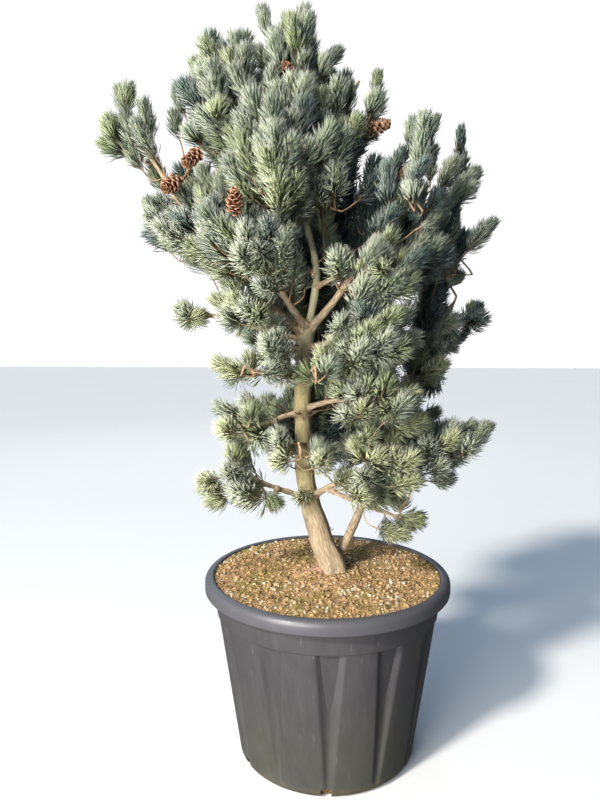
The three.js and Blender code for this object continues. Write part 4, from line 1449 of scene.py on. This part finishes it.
def soil_bmesh():
    """The soil as one closed body with its relief on top"""
    edge = LIP_MOUTH - 0.5 * MM
    foot = FLOOR + 0.35 * MM
    rings = [(r, SOIL_EDGE) for r in np.linspace(edge, 0, SOIL_GRID[0])]
    rows = [(0, foot), (INNER_FOOT - 1 * MM, foot), (RIM_MOUTH - 5 * MM, SOIL_EDGE - 20 * MM), *rings]
    bm = spun(rows, SOIL_GRID[1])
    for vertex in bm.verts:
        if vertex.co.z > SOIL_EDGE - 1 * MM:
            vertex.co.z = soil_height(vertex.co.x, vertex.co.y)
    return bm


def scattered(random, count, reach=GRAINS_OUT):
    """Places spread evenly over the soil, but not under the trunk"""
    places = []
    while len(places) < count:
        away = reach * math.sqrt(random.random())
        turn = random.uniform(0, 2 * math.pi)
        x, y = away * math.cos(turn), away * math.sin(turn)
        if math.hypot(x, y) > GRAINS_IN:
            places.append((x, y, soil_height(x, y)))
    return np.array(places) / MM


def patch(place, scale, level):
    """A soft patchy value at a place on the soil, from about -1 to 1"""
    return noise.noise(Vector((place[0] * scale, place[1] * scale, level)))


def turned_pair(first, second, angle):
    """Two coordinates of the points in rows, turned by each row's angle"""
    cosine, sine = np.cos(angle)[:, None], np.sin(angle)[:, None]
    return first * cosine - second * sine, first * sine + second * cosine


def grains(random, places, least, most, flat):
    """Rough little lumps at places, in millimetres, each turned and sized on its own"""
    bm = bmesh.new()
    bmesh.ops.create_icosphere(bm, subdivisions=1, radius=1)
    ball = np.array([v.co for v in bm.verts])
    faces = np.array([[v.index for v in f.verts] for f in bm.faces])
    bm.free()
    count = len(places)
    sizes = random.uniform(0, 1, count) ** 2 * (most - least) + least
    shapes = ball[None] * random.uniform(0.7, 1.3, (count, len(ball), 1))
    shapes = shapes * random.uniform([0.8, 0.8, flat], [1.5, 1.1, flat * 1.4], (count, 3))[:, None]
    turn = random.uniform(0, 2 * math.pi, count)
    tilt = random.uniform(-0.5, 0.5, count)
    x, z = turned_pair(shapes[..., 0], shapes[..., 2], tilt)
    x, y = turned_pair(x, shapes[..., 1], turn)
    shapes = np.stack([x, y, z], axis=-1) * (sizes / 2)[:, None, None]
    shapes = shapes + places[:, None] + UP * 0.1 * sizes[:, None, None]
    corners = faces[None] + np.arange(count)[:, None, None] * len(ball)
    return shapes.reshape(-1, 3), corners.reshape(-1, 3)


def blades(random, places, per_tuft, length, spread, width):
    """Tufts of fine blades standing on the soil at places"""
    count = len(places) * per_tuft
    bases = np.repeat(places, per_tuft, axis=0) + random.normal(0, spread, (count, 3)) * [1, 1, 0]
    aims = unit(random.normal(0, 0.55, (count, 3)) * [1, 1, 0] + UP)
    outs = unit(random.normal(0, 1, (count, 3)) + 1e-3)
    lengths = random.uniform(0.6, 1.2, count) * length
    widths = random.uniform(0.8, 1.2, count) * width
    curls = random.uniform(0.03, 0.12, count)
    return needle_arrays(bases - UP * 0.6, aims, outs, lengths, widths, curls)[:2]


def litter(random, count):
    """Fallen needles lying flat on the crumbs"""
    places = scattered(random, count, 0.25) + UP * 1.2
    aims = unit(random.normal(0, 1, (count, 3)) * [1, 1, 0.06])
    outs = np.tile(UP, (count, 1))
    lengths = random.uniform(14, 34, count)
    curls = random.uniform(0.03, 0.07, count)
    return needle_arrays(places, aims, outs, lengths, np.full(count, 1.3), curls)[:2]


def limb_bmesh(limb, rings, sides, relief, flat_foot=False):
    """A grid wrapped round a limb's curve, raised and sunk by the bark's relief. The place on the
    limb as if it were straight is kept for the material."""
    line = limb.line
    bm = bmesh.new()
    bmesh.ops.create_grid(bm, x_segments=sides, y_segments=rings, size=0.5)
    placed = bm.verts.layers.float_vector.new("bark_place")
    rows = np.array([v.co.y + 0.5 for v in bm.verts])
    turns = np.array([(v.co.x + 0.5) * 2 * math.pi for v in bm.verts])
    middles, radii, ahead = line.at(rows), limb.radius_at(rows), line.along(rows)
    across = unit(np.cross(ahead, np.array([0.0, 1.0, 0.05])))
    other = np.cross(across, ahead)
    if limb.parent is not None:
        away = rows * line.length - parent_radius(limb)
        radii = radii * (1 + COLLAR_SWELL * np.exp(-np.maximum(away, 0) / COLLAR_RUN))
    outs = across * np.cos(turns)[:, None] + other * np.sin(turns)[:, None]
    for vertex, middle, radius, turn, share, out in zip(bm.verts, middles, radii, turns, rows, outs):
        straight = Vector((radius * math.cos(turn), radius * math.sin(turn), share * line.length))
        vertex[placed] = straight * MM
        vertex.co = Vector(middle + out * (radius + relief(straight, turn, middle[2]))) * MM
        if flat_foot and share < 0.5 / rings:
            vertex.co.z = (TRUNK_FOOT + GAP) * MM
    bmesh.ops.remove_doubles(bm, verts=bm.verts, dist=1e-6)
    bmesh.ops.holes_fill(bm, edges=[e for e in bm.edges if e.is_boundary], sides=0)
    bmesh.ops.recalc_face_normals(bm, faces=bm.faces)
    return bm


def joined_limbs(rows):
    """Limbs, each with its steps along it and round it, as one bmesh"""
    whole = bmesh.new()
    for limb, steps, sides in rows:
        part = mesh_from_bmesh("limb", limb_bmesh(limb, steps, sides, bough_relief))
        whole.from_mesh(part)
        bpy.data.meshes.remove(part)
    return whole


def parent_radius(limb):
    """The radius of the parent where a limb leaves it"""
    start = limb.line.at(0.0)
    shares = np.linspace(0, 1, 400)
    near = np.argmin(np.linalg.norm(limb.parent.line.at(shares) - start, axis=1))
    return float(limb.parent.radius_at(shares[near]))


def bumps(straight, across, along):
    """Noise on a limb as if it were straight, by its scale across and along the limb"""
    return noise.noise(Vector((straight.x * across, straight.y * across, straight.z * along)))


def trunk_relief(straight, turn, z):
    """Root lobes, swollen whorls, plates with furrows, and ring scars"""
    lobes = 5.6 * math.cos(ROOT_LOBES * turn + 0.4) * math.exp(-(z - TRUNK_FOOT) / FLARE_HEIGHT)
    whorls = sum(1.7 * math.exp(-(((z - at) / 15) ** 2)) for at in WHORLS)
    furrow = abs(bumps(straight, 0.09, 0.028)) * 2.0 * smoothstep(z, *PLATES_FADE)
    belly = 3.4 * math.exp(-(((z - BELLY) / 62) ** 2))
    fine = bumps(straight, 0.4, 0.16) * 0.45
    broad = bumps(straight, 0.03, 0.018) * 2.2
    ring = bumps(straight, 0.03, 0.35) * 0.35
    thin = lerp(1.0, 0.35, smoothstep(z, *RELIEF_FADE))
    return lobes + (belly + whorls + furrow - 0.7 + fine + broad + ring) * thin


def bough_relief(straight, turn, z):
    """Leaf scars, faint furrows and the kinks of each year's growth"""
    knot = 0.55 * max(0.0, math.cos(straight.z / 9.5)) ** 10
    return knot + bumps(straight, 0.5, 0.22) * 0.45 + bumps(straight, 0.08, 0.04) * 1.1


def stem_limb(own, stem):
    """A mass's stem as a limb, for the bark's mesh"""
    thick = STEM_THICK if own.height else BOUGH_TIP
    parent = limbs[own.limb]
    return Limb(own.name, stem, lambda share: lerp(thick, STEM_THIN, np.asarray(share)), parent)


def cone_scale_arrays():
    """One woody scale: a thin wedge with a thick, slightly hooked edge, along +X, and which of
    its faces belong to that edge. Those take the pale colour, partly painted highlight, and the rest
    the dark one, painted shade between the scales."""
    outline = [(0.0, 0.14, 0.06), (0.5, 0.36, 0.08), (0.84, 0.46, 0.13), (1.0, 0.2, 0.1)]
    places, corners = [], []
    for run, half, thick in outline:
        lift = 0.28 * run**2
        for across in (-1, 0, 1):
            bulge = 0.08 * (1 - abs(across))
            places.append((run, across * half, lift + bulge + thick / 2))
            places.append((run, across * half, lift + bulge - thick / 2))
    for row in range(len(outline) - 1):
        for column in range(2):
            a = row * 6 + column * 2
            b, c, d = a + 2, a + 8, a + 6
            corners += [(a, d, c), (a, c, b), (a + 1, c + 1, d + 1), (a + 1, b + 1, c + 1)]
        left, right = row * 6, row * 6 + 4
        corners += [(left, left + 1, left + 7), (left, left + 7, left + 6)]
        corners += [(right, right + 7, right + 1), (right, right + 6, right + 7)]
    last = (len(outline) - 1) * 6
    for column in range(2):
        for start, flip in ((column * 2, False), (last + column * 2, True)):
            quad = (start, start + 2, start + 3, start + 1)
            quad = quad[::-1] if flip else quad
            corners += [(quad[0], quad[1], quad[2]), (quad[0], quad[2], quad[3])]
    corners = np.array(corners)
    return np.array(places), corners, (corners.max(axis=1) >= 15).astype(int)


def cone_arrays(row, random):
    """An open seed cone: woody scales in a spiral round its axis, larger at the middle"""
    centre, turn, fall = np.array(row[:3], float), row[3], math.radians(row[4])
    nose = heading(turn) * math.cos(fall) - UP * math.sin(fall)
    side, other = sides_of(nose)
    scale_places, scale_corners, edges = cone_scale_arrays()
    parts = []
    for k in range(CONE_SCALES):
        share = (k + 0.5) / CONE_SCALES
        angle = k * GOLDEN_ANGLE
        out = math.cos(angle) * side + math.sin(angle) * other
        belly = math.sin(math.pi * min(1, 0.16 + 0.84 * share)) ** 0.7
        size = (7 + 9.5 * belly) * random.uniform(0.85, 1.12)
        lean = lerp(-0.3, 0.85, share) + random.uniform(-0.14, 0.14)
        along = math.cos(lean) * out + math.sin(lean) * nose
        up = np.cross(along, np.cross(nose, out))
        up = up if up @ nose > 0 else -up
        base = centre + nose * CONE_LENGTH * (share * 0.78 - 0.44) + out * 2
        spots = scale_places @ np.array([along, np.cross(up, along), up])
        parts.append((base + spots * size, scale_corners, edges))
    core = centre + nose * np.linspace(-0.46, 0.4, 5)[:, None] * CONE_LENGTH
    places, corners = tubes(core[None], np.array([[3, 5, 5, 4, 2.0]]), 6)
    parts.append((places, corners, np.zeros(len(corners), int)))
    return joined(parts), core[0], nose


def surface_root(turn, length, thick, sway):
    """A root that leaves the trunk's foot and dips into the soil"""
    out = heading(turn)
    start = UP * ROOT_HEIGHT + out * 18
    end = start + out * length + np.array([-out[1], out[0], 0]) * sway
    end[2] = soil_height(end[0] * MM, end[1] * MM) / MM - thick * 0.9
    bend = start + out * length * 0.5
    bend[2] = ROOT_HEIGHT - 2 - thick * 0.25
    line = bent_line(start, bend, end)
    return Limb("root", line, lambda share: lerp(thick, thick * 0.4, np.asarray(share)))


def snags():
    """Dead twigs left where old whorls were, each with a side spur"""
    random = np.random.default_rng(SEEDS["snags"])
    twigs = []
    for z, turn, length in SNAGS:
        out = heading(turn, random.uniform(0.0, 0.35))
        start = on_trunk(z) + out * 12
        end = start + out * length + UP * random.uniform(-4, 12)
        twigs.append(Twig(np.array([start, (start + end) / 2 - UP * 4, end]), 2.6, 1.0))
        fork = lerp(start, end, 0.55)
        side = unit(np.cross(out, UP)) * random.choice([-1, 1])
        spur = fork + (side * 0.7 + out * 0.6 + UP * 0.3) * length * 0.35
        twigs.append(Twig(np.array([fork, (fork + spur) / 2, spur]), 1.6, 0.7))
    return twigs


def smooth_paths(rows, steps):
    """Three-point paths as smooth ones of equal steps"""
    share = np.linspace(0, 1, steps)[None, :, None]
    first, middle, last = rows[:, :1], rows[:, 1:2], rows[:, 2:]
    bend = 2 * middle - (first + last) / 2
    return (1 - share) ** 2 * first + 2 * share * (1 - share) * bend + share**2 * last


def twig_arrays(twigs, steps=4, sides=4):
    paths = smooth_paths(np.array([t.path for t in twigs]), steps)
    ends = np.array([(t.thick, t.thin) for t in twigs])
    return tubes(paths, lerp(ends[:, :1], ends[:, 1:], np.linspace(0, 1, steps)), sides)


def bud_arrays(sprays, random):
    """Resinous winter buds: slim pointed tubes at the tips of the outer sprays"""
    ends = np.array([s.end for s in sprays])
    aims = unit(ends - np.array([s.start for s in sprays]))
    long = random.uniform(7, 11, len(sprays))[:, None]
    shares = np.array([-0.1, 0.25, 0.6, 1.0])
    paths = ends[:, None] + aims[:, None] * long[:, :, None] * shares[None, :, None]
    radii = np.array([1.2, 2.1, 1.5, 0.3])[None] * random.uniform(0.85, 1.15, (len(sprays), 1))
    return tubes(paths, radii, 6)


def tint_of(spray, random):
    """Which tint a spray's needles have. The dark shaded tint paints shade deep in the crown, at its
    right and in the shaded rounds, and the darker slate tint paints shade at the upper left. The pale
    sunny and frosted tints, dealt out more at the lit tips low down, at the lower right and at the top,
    partly paint sunlight over the needles' own yellow-green and waxy bloom."""
    draw = random.random()
    x, _, z = spray.end
    low = smoothstep(z, 1250, 750)
    # Painted shade: sprays in or near the shaded rounds take the dark shaded tint
    if in_rounds(spray.end, SHADE, SHADE_PAD)[0]:
        return "shaded"
    # Painted shade: deep sprays take the dark shaded tint, more often at the right and less low down
    if spray.depth > 0.5:
        right = smoothstep(x, -60, 140) * (1 - 0.6 * low)
        return "shaded" if draw < 0.08 + 0.6 * right else ("green" if draw < 0.75 else "glaucous")
    # Painted shade: some outer sprays at the right and a few at the upper left take the dark shaded tint
    right = smoothstep(x, 100, 260) * smoothstep(z, 850, 1000)
    west = smoothstep(x, -60, -200) * smoothstep(z, 1150, 1300)
    if draw > 1 - 0.4 * right - 0.12 * west:
        return "shaded"
    # Partly painted sunlight: the pale sunny and frosted tints grow more common low down, at the lower right
    # and at the top
    east = smoothstep(x, 120, 240) * low
    crest = smoothstep(z, 1450, 1600) * (1 - west) * (1 - right)
    frosted = 0.34 + 0.4 * low + 0.25 * east + 0.35 * crest - 0.17 * smoothstep(z, 1250, 1500) - 0.14 * west
    limits = {
        "sunny": 0.45 * low + 0.3 * east,
        "frosted": frosted,
        # Painted shade: the darker slate tint at the upper left
        "slate": frosted + 0.6 * west,
        "glaucous": 0.68 + 0.06 * low,
        "green": 0.96,
    }
    return next((tint for tint, limit in limits.items() if draw < limit), "olive")


class PotSettings(bpy.types.PropertyGroup):
    """Sizes and colours of the pot"""

    flute_depth: FloatProperty(
        name="Flute Depth",
        description="How far the wall's channels are drawn in",
        default=15 * MM,
        unit="LENGTH",
    )
    pot_colour: FloatVectorProperty(
        name="Plastic",
        description="Colour of the pot's plastic between its bleached streaks",
        default=(0.051, 0.048, 0.051),
        subtype="COLOR",
    )


class SoilSettings(bpy.types.PropertyGroup):
    """What lies in the pot"""

    perlite: IntProperty(name="Perlite", description="Number of white grains", default=620)
    crumbs: IntProperty(name="Crumbs", description="Number of bark and peat crumbs", default=3000)
    tufts: IntProperty(name="Moss Tufts", description="Number of tufts of moss", default=620)
    litter: IntProperty(name="Litter", description="Number of fallen needles", default=420)
    dark_soil: FloatVectorProperty(
        name="Dark Soil", description="Colour of the hollows", default=(0.05, 0.021, 0.01), subtype="COLOR"
    )
    pale_soil: FloatVectorProperty(
        name="Pale Soil", description="Colour of the crumbs", default=(0.66, 0.415, 0.195), subtype="COLOR"
    )


class WoodSettings(bpy.types.PropertyGroup):
    """The bark of the trunk, the second stem and the boughs"""

    bark_colour: FloatVectorProperty(
        name="Bark", description="Colour of the plates", default=(0.41, 0.315, 0.195), subtype="COLOR"
    )
    twig_colour: FloatVectorProperty(
        name="Twigs", description="Colour of the youngest bark", default=(0.44, 0.3, 0.18), subtype="COLOR"
    )


class NeedleSettings(bpy.types.PropertyGroup):
    """The needles of every spray"""

    close: FloatProperty(name="Closeness", description="Bundles on a millimetre of twig", default=0.66)
    per_bundle: IntProperty(name="Needles", description="Needles in a bundle", default=5)
    width: FloatProperty(
        name="Width", description="Width of a needle across its outer face", default=1.45 * MM, unit="LENGTH"
    )


class StageSettings(bpy.types.PropertyGroup):
    """The floor, the lights and the camera"""

    floor_colour: FloatVectorProperty(
        name="Floor", description="Colour of the floor", default=(0.86, 0.86, 0.86), subtype="COLOR"
    )
    key_power: FloatProperty(name="Key Light", description="Strength of the main light", default=3.55)
    lens: FloatProperty(name="Lens", description="Focal length of the camera", default=31.5, unit="CAMERA")


class PINE_OT_make_pot(bpy.types.Operator):
    """Make the fluted nursery pot with its rolled rim and drain slots"""

    bl_idname = "pine.make_pot"
    bl_label = "Make Pot"

    def execute(self, context):
        settings = context.scene.pine_pot
        bm = spun(pot_rows(), POT_STEPS)
        for vertex in bm.verts:
            x, y, z = vertex.co
            away = math.hypot(x, y)
            inside = max(INNER_FOOT + 4 * MM, wall_radius(z) - 1 * MM)
            if away > inside and z < COLLAR_FOOT + 1 * MM:
                share = 1 - flute_depth(math.atan2(x, -y), z, settings.flute_depth) / away
                vertex.co.x, vertex.co.y = x * share, y * share
        piece = add_piece("nursery_pot", bm, [pot_material(settings)], ["pot"])
        cut_away(piece, drain_cutter())
        piece.data.set_sharp_from_angle(angle=math.radians(35))
        return {"FINISHED"}


class PINE_OT_make_soil(bpy.types.Operator):
    """Make the soil, its grains, the moss and the fallen needles"""

    bl_idname = "pine.make_soil"
    bl_label = "Make Soil"

    def execute(self, context):
        settings = context.scene.pine_soil
        random = np.random.default_rng(SEEDS["soil"])
        dark, pale = tuple(settings.dark_soil), tuple(settings.pale_soil)
        soil = soil_material("potting_mix", dark, pale)
        add_piece("soil_bed", soil_bmesh(), [soil], ["soil"])
        low, high = lerp_colour(dark, pale, 0.08), lerp_colour(pale, LOOSE_BARK, 0.5)
        crumbs = grains(random, scattered(random, settings.crumbs), 2.5, 12.0, 0.6)
        add_piece("soil_crumbs", crumbs, [soil_material("bark_crumbs", low, high)])
        spots = scattered(random, settings.perlite * 2)
        white = np.array([p for p in spots if patch(p, 0.013, 3.3) > random.normal(0, 0.2)])
        lumps = grains(random, white, 2.4, 8.5, 0.8)
        add_piece("perlite_grains", lumps, [grain_material("perlite")])
        mossy = np.array([p for p in scattered(random, settings.tufts) if patch(p, 0.02, 7.7) > 0.02])
        tufts = blades(random, mossy, 12, 6.5, 4.0, 1.1)
        add_piece("moss_tufts", tufts, [grain_material("moss")])
        fallen = litter(random, settings.litter)
        add_piece("needle_litter", fallen, [grain_material("fallen_needles")])
        return {"FINISHED"}


class PINE_OT_make_wood(bpy.types.Operator):
    """Make the trunk, the second stem, the boughs, the dead twigs and the surface roots"""

    bl_idname = "pine.make_wood"
    bl_label = "Make Wood"

    def execute(self, context):
        young, old_bark = bark_material("bough_bark")[0], trunk_material(context.scene.pine_wood)
        trunk = limb_bmesh(limbs["trunk"], *TRUNK_GRID, trunk_relief, flat_foot=True)
        add_piece("trunk_with_bark", trunk, [old_bark], ["trunk"])
        second = limb_bmesh(limbs["second_stem"], *STEM_GRID, bough_relief)
        add_piece("second_stem_with_bark", second, [young], ["second_stem"])
        names = [row[0] for row in BOUGHS]
        rows = [limbs[name] for name in names]
        rows += [stem_limb(own, stem) for own, stem in zip(MASSES, crown[0])]
        steps = [max(6, int(limb.line.length / BOUGH_STEP)) for limb in rows]
        boughs = joined_limbs((limb, count, BOUGH_SIDES) for limb, count in zip(rows, steps))
        add_piece("boughs_with_bark", boughs, [young], names)
        dead = grain_material("dead_twigs")
        add_piece("dead_twigs", twig_arrays(snags(), 6, 6), [dead])
        roots = joined_limbs((surface_root(*row), 40, 16) for row in ROOTS)
        add_piece("surface_roots", roots, [bark_material("root_bark")[0]])
        return {"FINISHED"}


class PINE_OT_make_foliage(bpy.types.Operator):
    """Make the twigs, the buds and the needles of every spray"""

    bl_idname = "pine.make_foliage"
    bl_label = "Make Foliage"

    def execute(self, context):
        _, twigs, sprays = crown
        random = np.random.default_rng(SEEDS["needles"])
        nodes = ["needles_" + own.name for own in MASSES]
        pale = tuple(context.scene.pine_wood.twig_colour)
        bark = grain_material("twig_bark", (lerp_colour(pale, TWIG_SHADE, 0.45), pale, 45.0, 0.7))
        add_piece("twigs", twig_arrays(twigs), [bark], nodes)
        buds = bud_arrays([s for s in sprays if s.depth < 0.5], random)
        add_piece("winter_buds", buds, [grain_material("winter_buds")])
        self.add_needles(context.scene.pine_needles, sprays, random, nodes)
        return {"FINISHED"}

    def add_needles(self, settings, sprays, random, nodes):
        """The needles of each tint, in pieces small enough to export"""
        dealt = {name: [] for name in TINTS}
        for spray in sprays:
            parts = spray_needles(spray, random, settings.close, settings.per_bundle, settings.width / MM)
            dealt[tint_of(spray, random)].append(parts)
        for name, parts in dealt.items():
            faces = zip(("needle_back_", "needle_bands_"), TINTS[name])
            looks = [needle_material(face + name, colour) for face, colour in faces]
            pieces = math.ceil(sum(len(p[1]) for p in parts) / MOST_TRIANGLES)
            for k in range(pieces):
                add_piece(f"needles_{name}_{k + 1}", joined(parts[k::pieces]), looks, nodes)


class PINE_OT_make_cones(bpy.types.Operator):
    """Make the open seed cones with their woody scales and stalks"""

    bl_idname = "pine.make_cones"
    bl_label = "Make Cones"

    def execute(self, context):
        random = np.random.default_rng(SEEDS["cones"])
        parts, stalks = [], []
        for row in CONES:
            arrays, tail, nose = cone_arrays(row, random)
            parts.append(arrays)
            start = leaving_place(crown[0][cell_of(row[:3])], tail, nose)
            stalks.append(Twig(np.array([start, (start + tail) / 2 - UP * 3, tail]), 2.8, 3.2))
        # Painted shade and highlight: dark inner scale faces and pale scale edges
        wood = [grain_material("cone_scales"), grain_material("cone_scale_edges")]
        add_piece("seed_cones", joined(parts), wood)
        add_piece("cone_stalks", twig_arrays(stalks), [grain_material("cone_stalks")])
        return {"FINISHED"}


class PINE_OT_set_stage(bpy.types.Operator):
    """Set the floor, the lights and the camera at the photograph's angle"""

    bl_idname = "pine.set_stage"
    bl_label = "Set Stage"

    def execute(self, context):
        settings = context.scene.pine_stage
        bm = bmesh.new()
        bmesh.ops.create_grid(bm, x_segments=8, y_segments=8, size=FLOOR_HALF)
        floor = bpy.data.objects.new("floor", mesh_from_bmesh("floor", bm))
        context.scene.collection.objects.link(floor)
        floor.data.materials.append(self.floor_material(settings))
        sun = {"angle": KEY_WIDTH}
        self.add_light("key", "SUN", (0, 0, 0), KEY_AIM, settings.key_power, KEY_COLOUR, sun)
        for name, place, goal, size, power, colour in SOFT_LIGHTS:
            disk = {"shape": "DISK", "size": size}
            self.add_light(name, "AREA", place, Vector(goal) - Vector(place), power, colour, disk)
        self.set_world(context.scene)
        self.add_camera(context.scene, settings)
        return {"FINISHED"}

    def floor_material(self, settings):
        """A pale floor that throws little light back up at the part"""
        material, tree, shader = new_material("studio_floor", Roughness=0.9, Specular_IOR_Level=0.1)
        pale = tuple(settings.floor_colour)
        mask = mottled(tree, object_place(tree), 1.2, 10.0, 0.2)
        colour = mixed(tree, mask, pale, tuple(c * 0.985 for c in pale))
        seen = add_node(tree, "LightPath").outputs["Is Camera Ray"]
        colour = mixed(tree, seen, tuple(c * FLOOR_GLOW for c in pale), colour)
        tree.links.new(colour, shader.inputs["Base Color"])
        return material

    def add_light(self, name, kind, place, aim, power, colour, looks):
        light = bpy.data.lights.new(name, kind)
        light.energy = power
        light.color = colour
        for key, value in looks.items():
            setattr(light, key, value)
        lamp = bpy.data.objects.new(name, light)
        lamp.location = place
        lamp.rotation_euler = Vector(aim).to_track_quat("-Z", "Y").to_euler()
        bpy.context.scene.collection.objects.link(lamp)

    def set_world(self, scene):
        """White to the camera, and a bluish sky light that is stronger from the left"""
        world = bpy.data.worlds.new("studio")
        world.use_nodes = True
        tree = world.node_tree
        background = tree.nodes["Background"]
        seen = add_node(tree, "LightPath").outputs["Is Camera Ray"]
        tint = mixed(tree, seen, SKY_TINT, (1.0, 1.0, 1.0))
        tree.links.new(tint, background.inputs["Color"])
        way = parts_of(tree, add_node(tree, "TexCoord").outputs["Generated"])
        side = ranged(tree, way["X"], -0.8, 0.8, *SKY_POWERS)
        strength = ranged(tree, seen, 0.0, 1.0, side, SKY_SEEN)
        tree.links.new(strength, background.inputs["Strength"])
        scene.world = world
        scene.view_settings.view_transform = "Standard"

    def add_camera(self, scene, settings):
        camera = bpy.data.cameras.new("camera")
        camera.lens = settings.lens
        camera.sensor_width = 36
        camera.clip_start = 0.05
        holder = bpy.data.objects.new("camera", camera)
        holder.location = CAMERA_PLACE
        holder.rotation_euler = (math.radians(90 - CAMERA_PITCH), 0, math.radians(CAMERA_YAW))
        scene.collection.objects.link(holder)
        scene.camera = holder


class PINE_PT_panel(bpy.types.Panel):
    """Lists the pine's pieces and their settings"""

    bl_idname = "PINE_PT_panel"
    bl_label = "White Pine"
    bl_space_type = "VIEW_3D"
    bl_region_type = "UI"
    bl_category = "White Pine"

    def draw(self, context):
        for operator, group in STEPS:
            box = self.layout.box()
            box.operator(operator.bl_idname)
            if group is None:
                continue
            settings = getattr(context.scene, group)
            for key in settings.__annotations__:
                box.prop(settings, key)


SETTINGS = {
    "pine_pot": PotSettings,
    "pine_soil": SoilSettings,
    "pine_wood": WoodSettings,
    "pine_needles": NeedleSettings,
    "pine_stage": StageSettings,
}
STEPS = (
    (PINE_OT_set_stage, "pine_stage"),
    (PINE_OT_make_pot, "pine_pot"),
    (PINE_OT_make_soil, "pine_soil"),
    (PINE_OT_make_wood, "pine_wood"),
    (PINE_OT_make_foliage, "pine_needles"),
    (PINE_OT_make_cones, None),
)


def register():
    for group in SETTINGS.values():
        bpy.utils.register_class(group)
    for operator, _ in STEPS:
        bpy.utils.register_class(operator)
    bpy.utils.register_class(PINE_PT_panel)
    for name, group in SETTINGS.items():
        setattr(bpy.types.Scene, name, PointerProperty(type=group))


def unregister():
    for name in SETTINGS:
        delattr(bpy.types.Scene, name)
    bpy.utils.unregister_class(PINE_PT_panel)
    for operator, _ in reversed(STEPS):
        bpy.utils.unregister_class(operator)
    for group in SETTINGS.values():
        bpy.utils.unregister_class(group)


def main():
    register()
    bpy.ops.pine.set_stage()
    bpy.ops.pine.make_pot()
    bpy.ops.pine.make_soil()
    bpy.ops.pine.make_wood()
    bpy.ops.pine.make_foliage()
    bpy.ops.pine.make_cones()


crown = grow_crown()

if __name__ == "__main__":
    main()
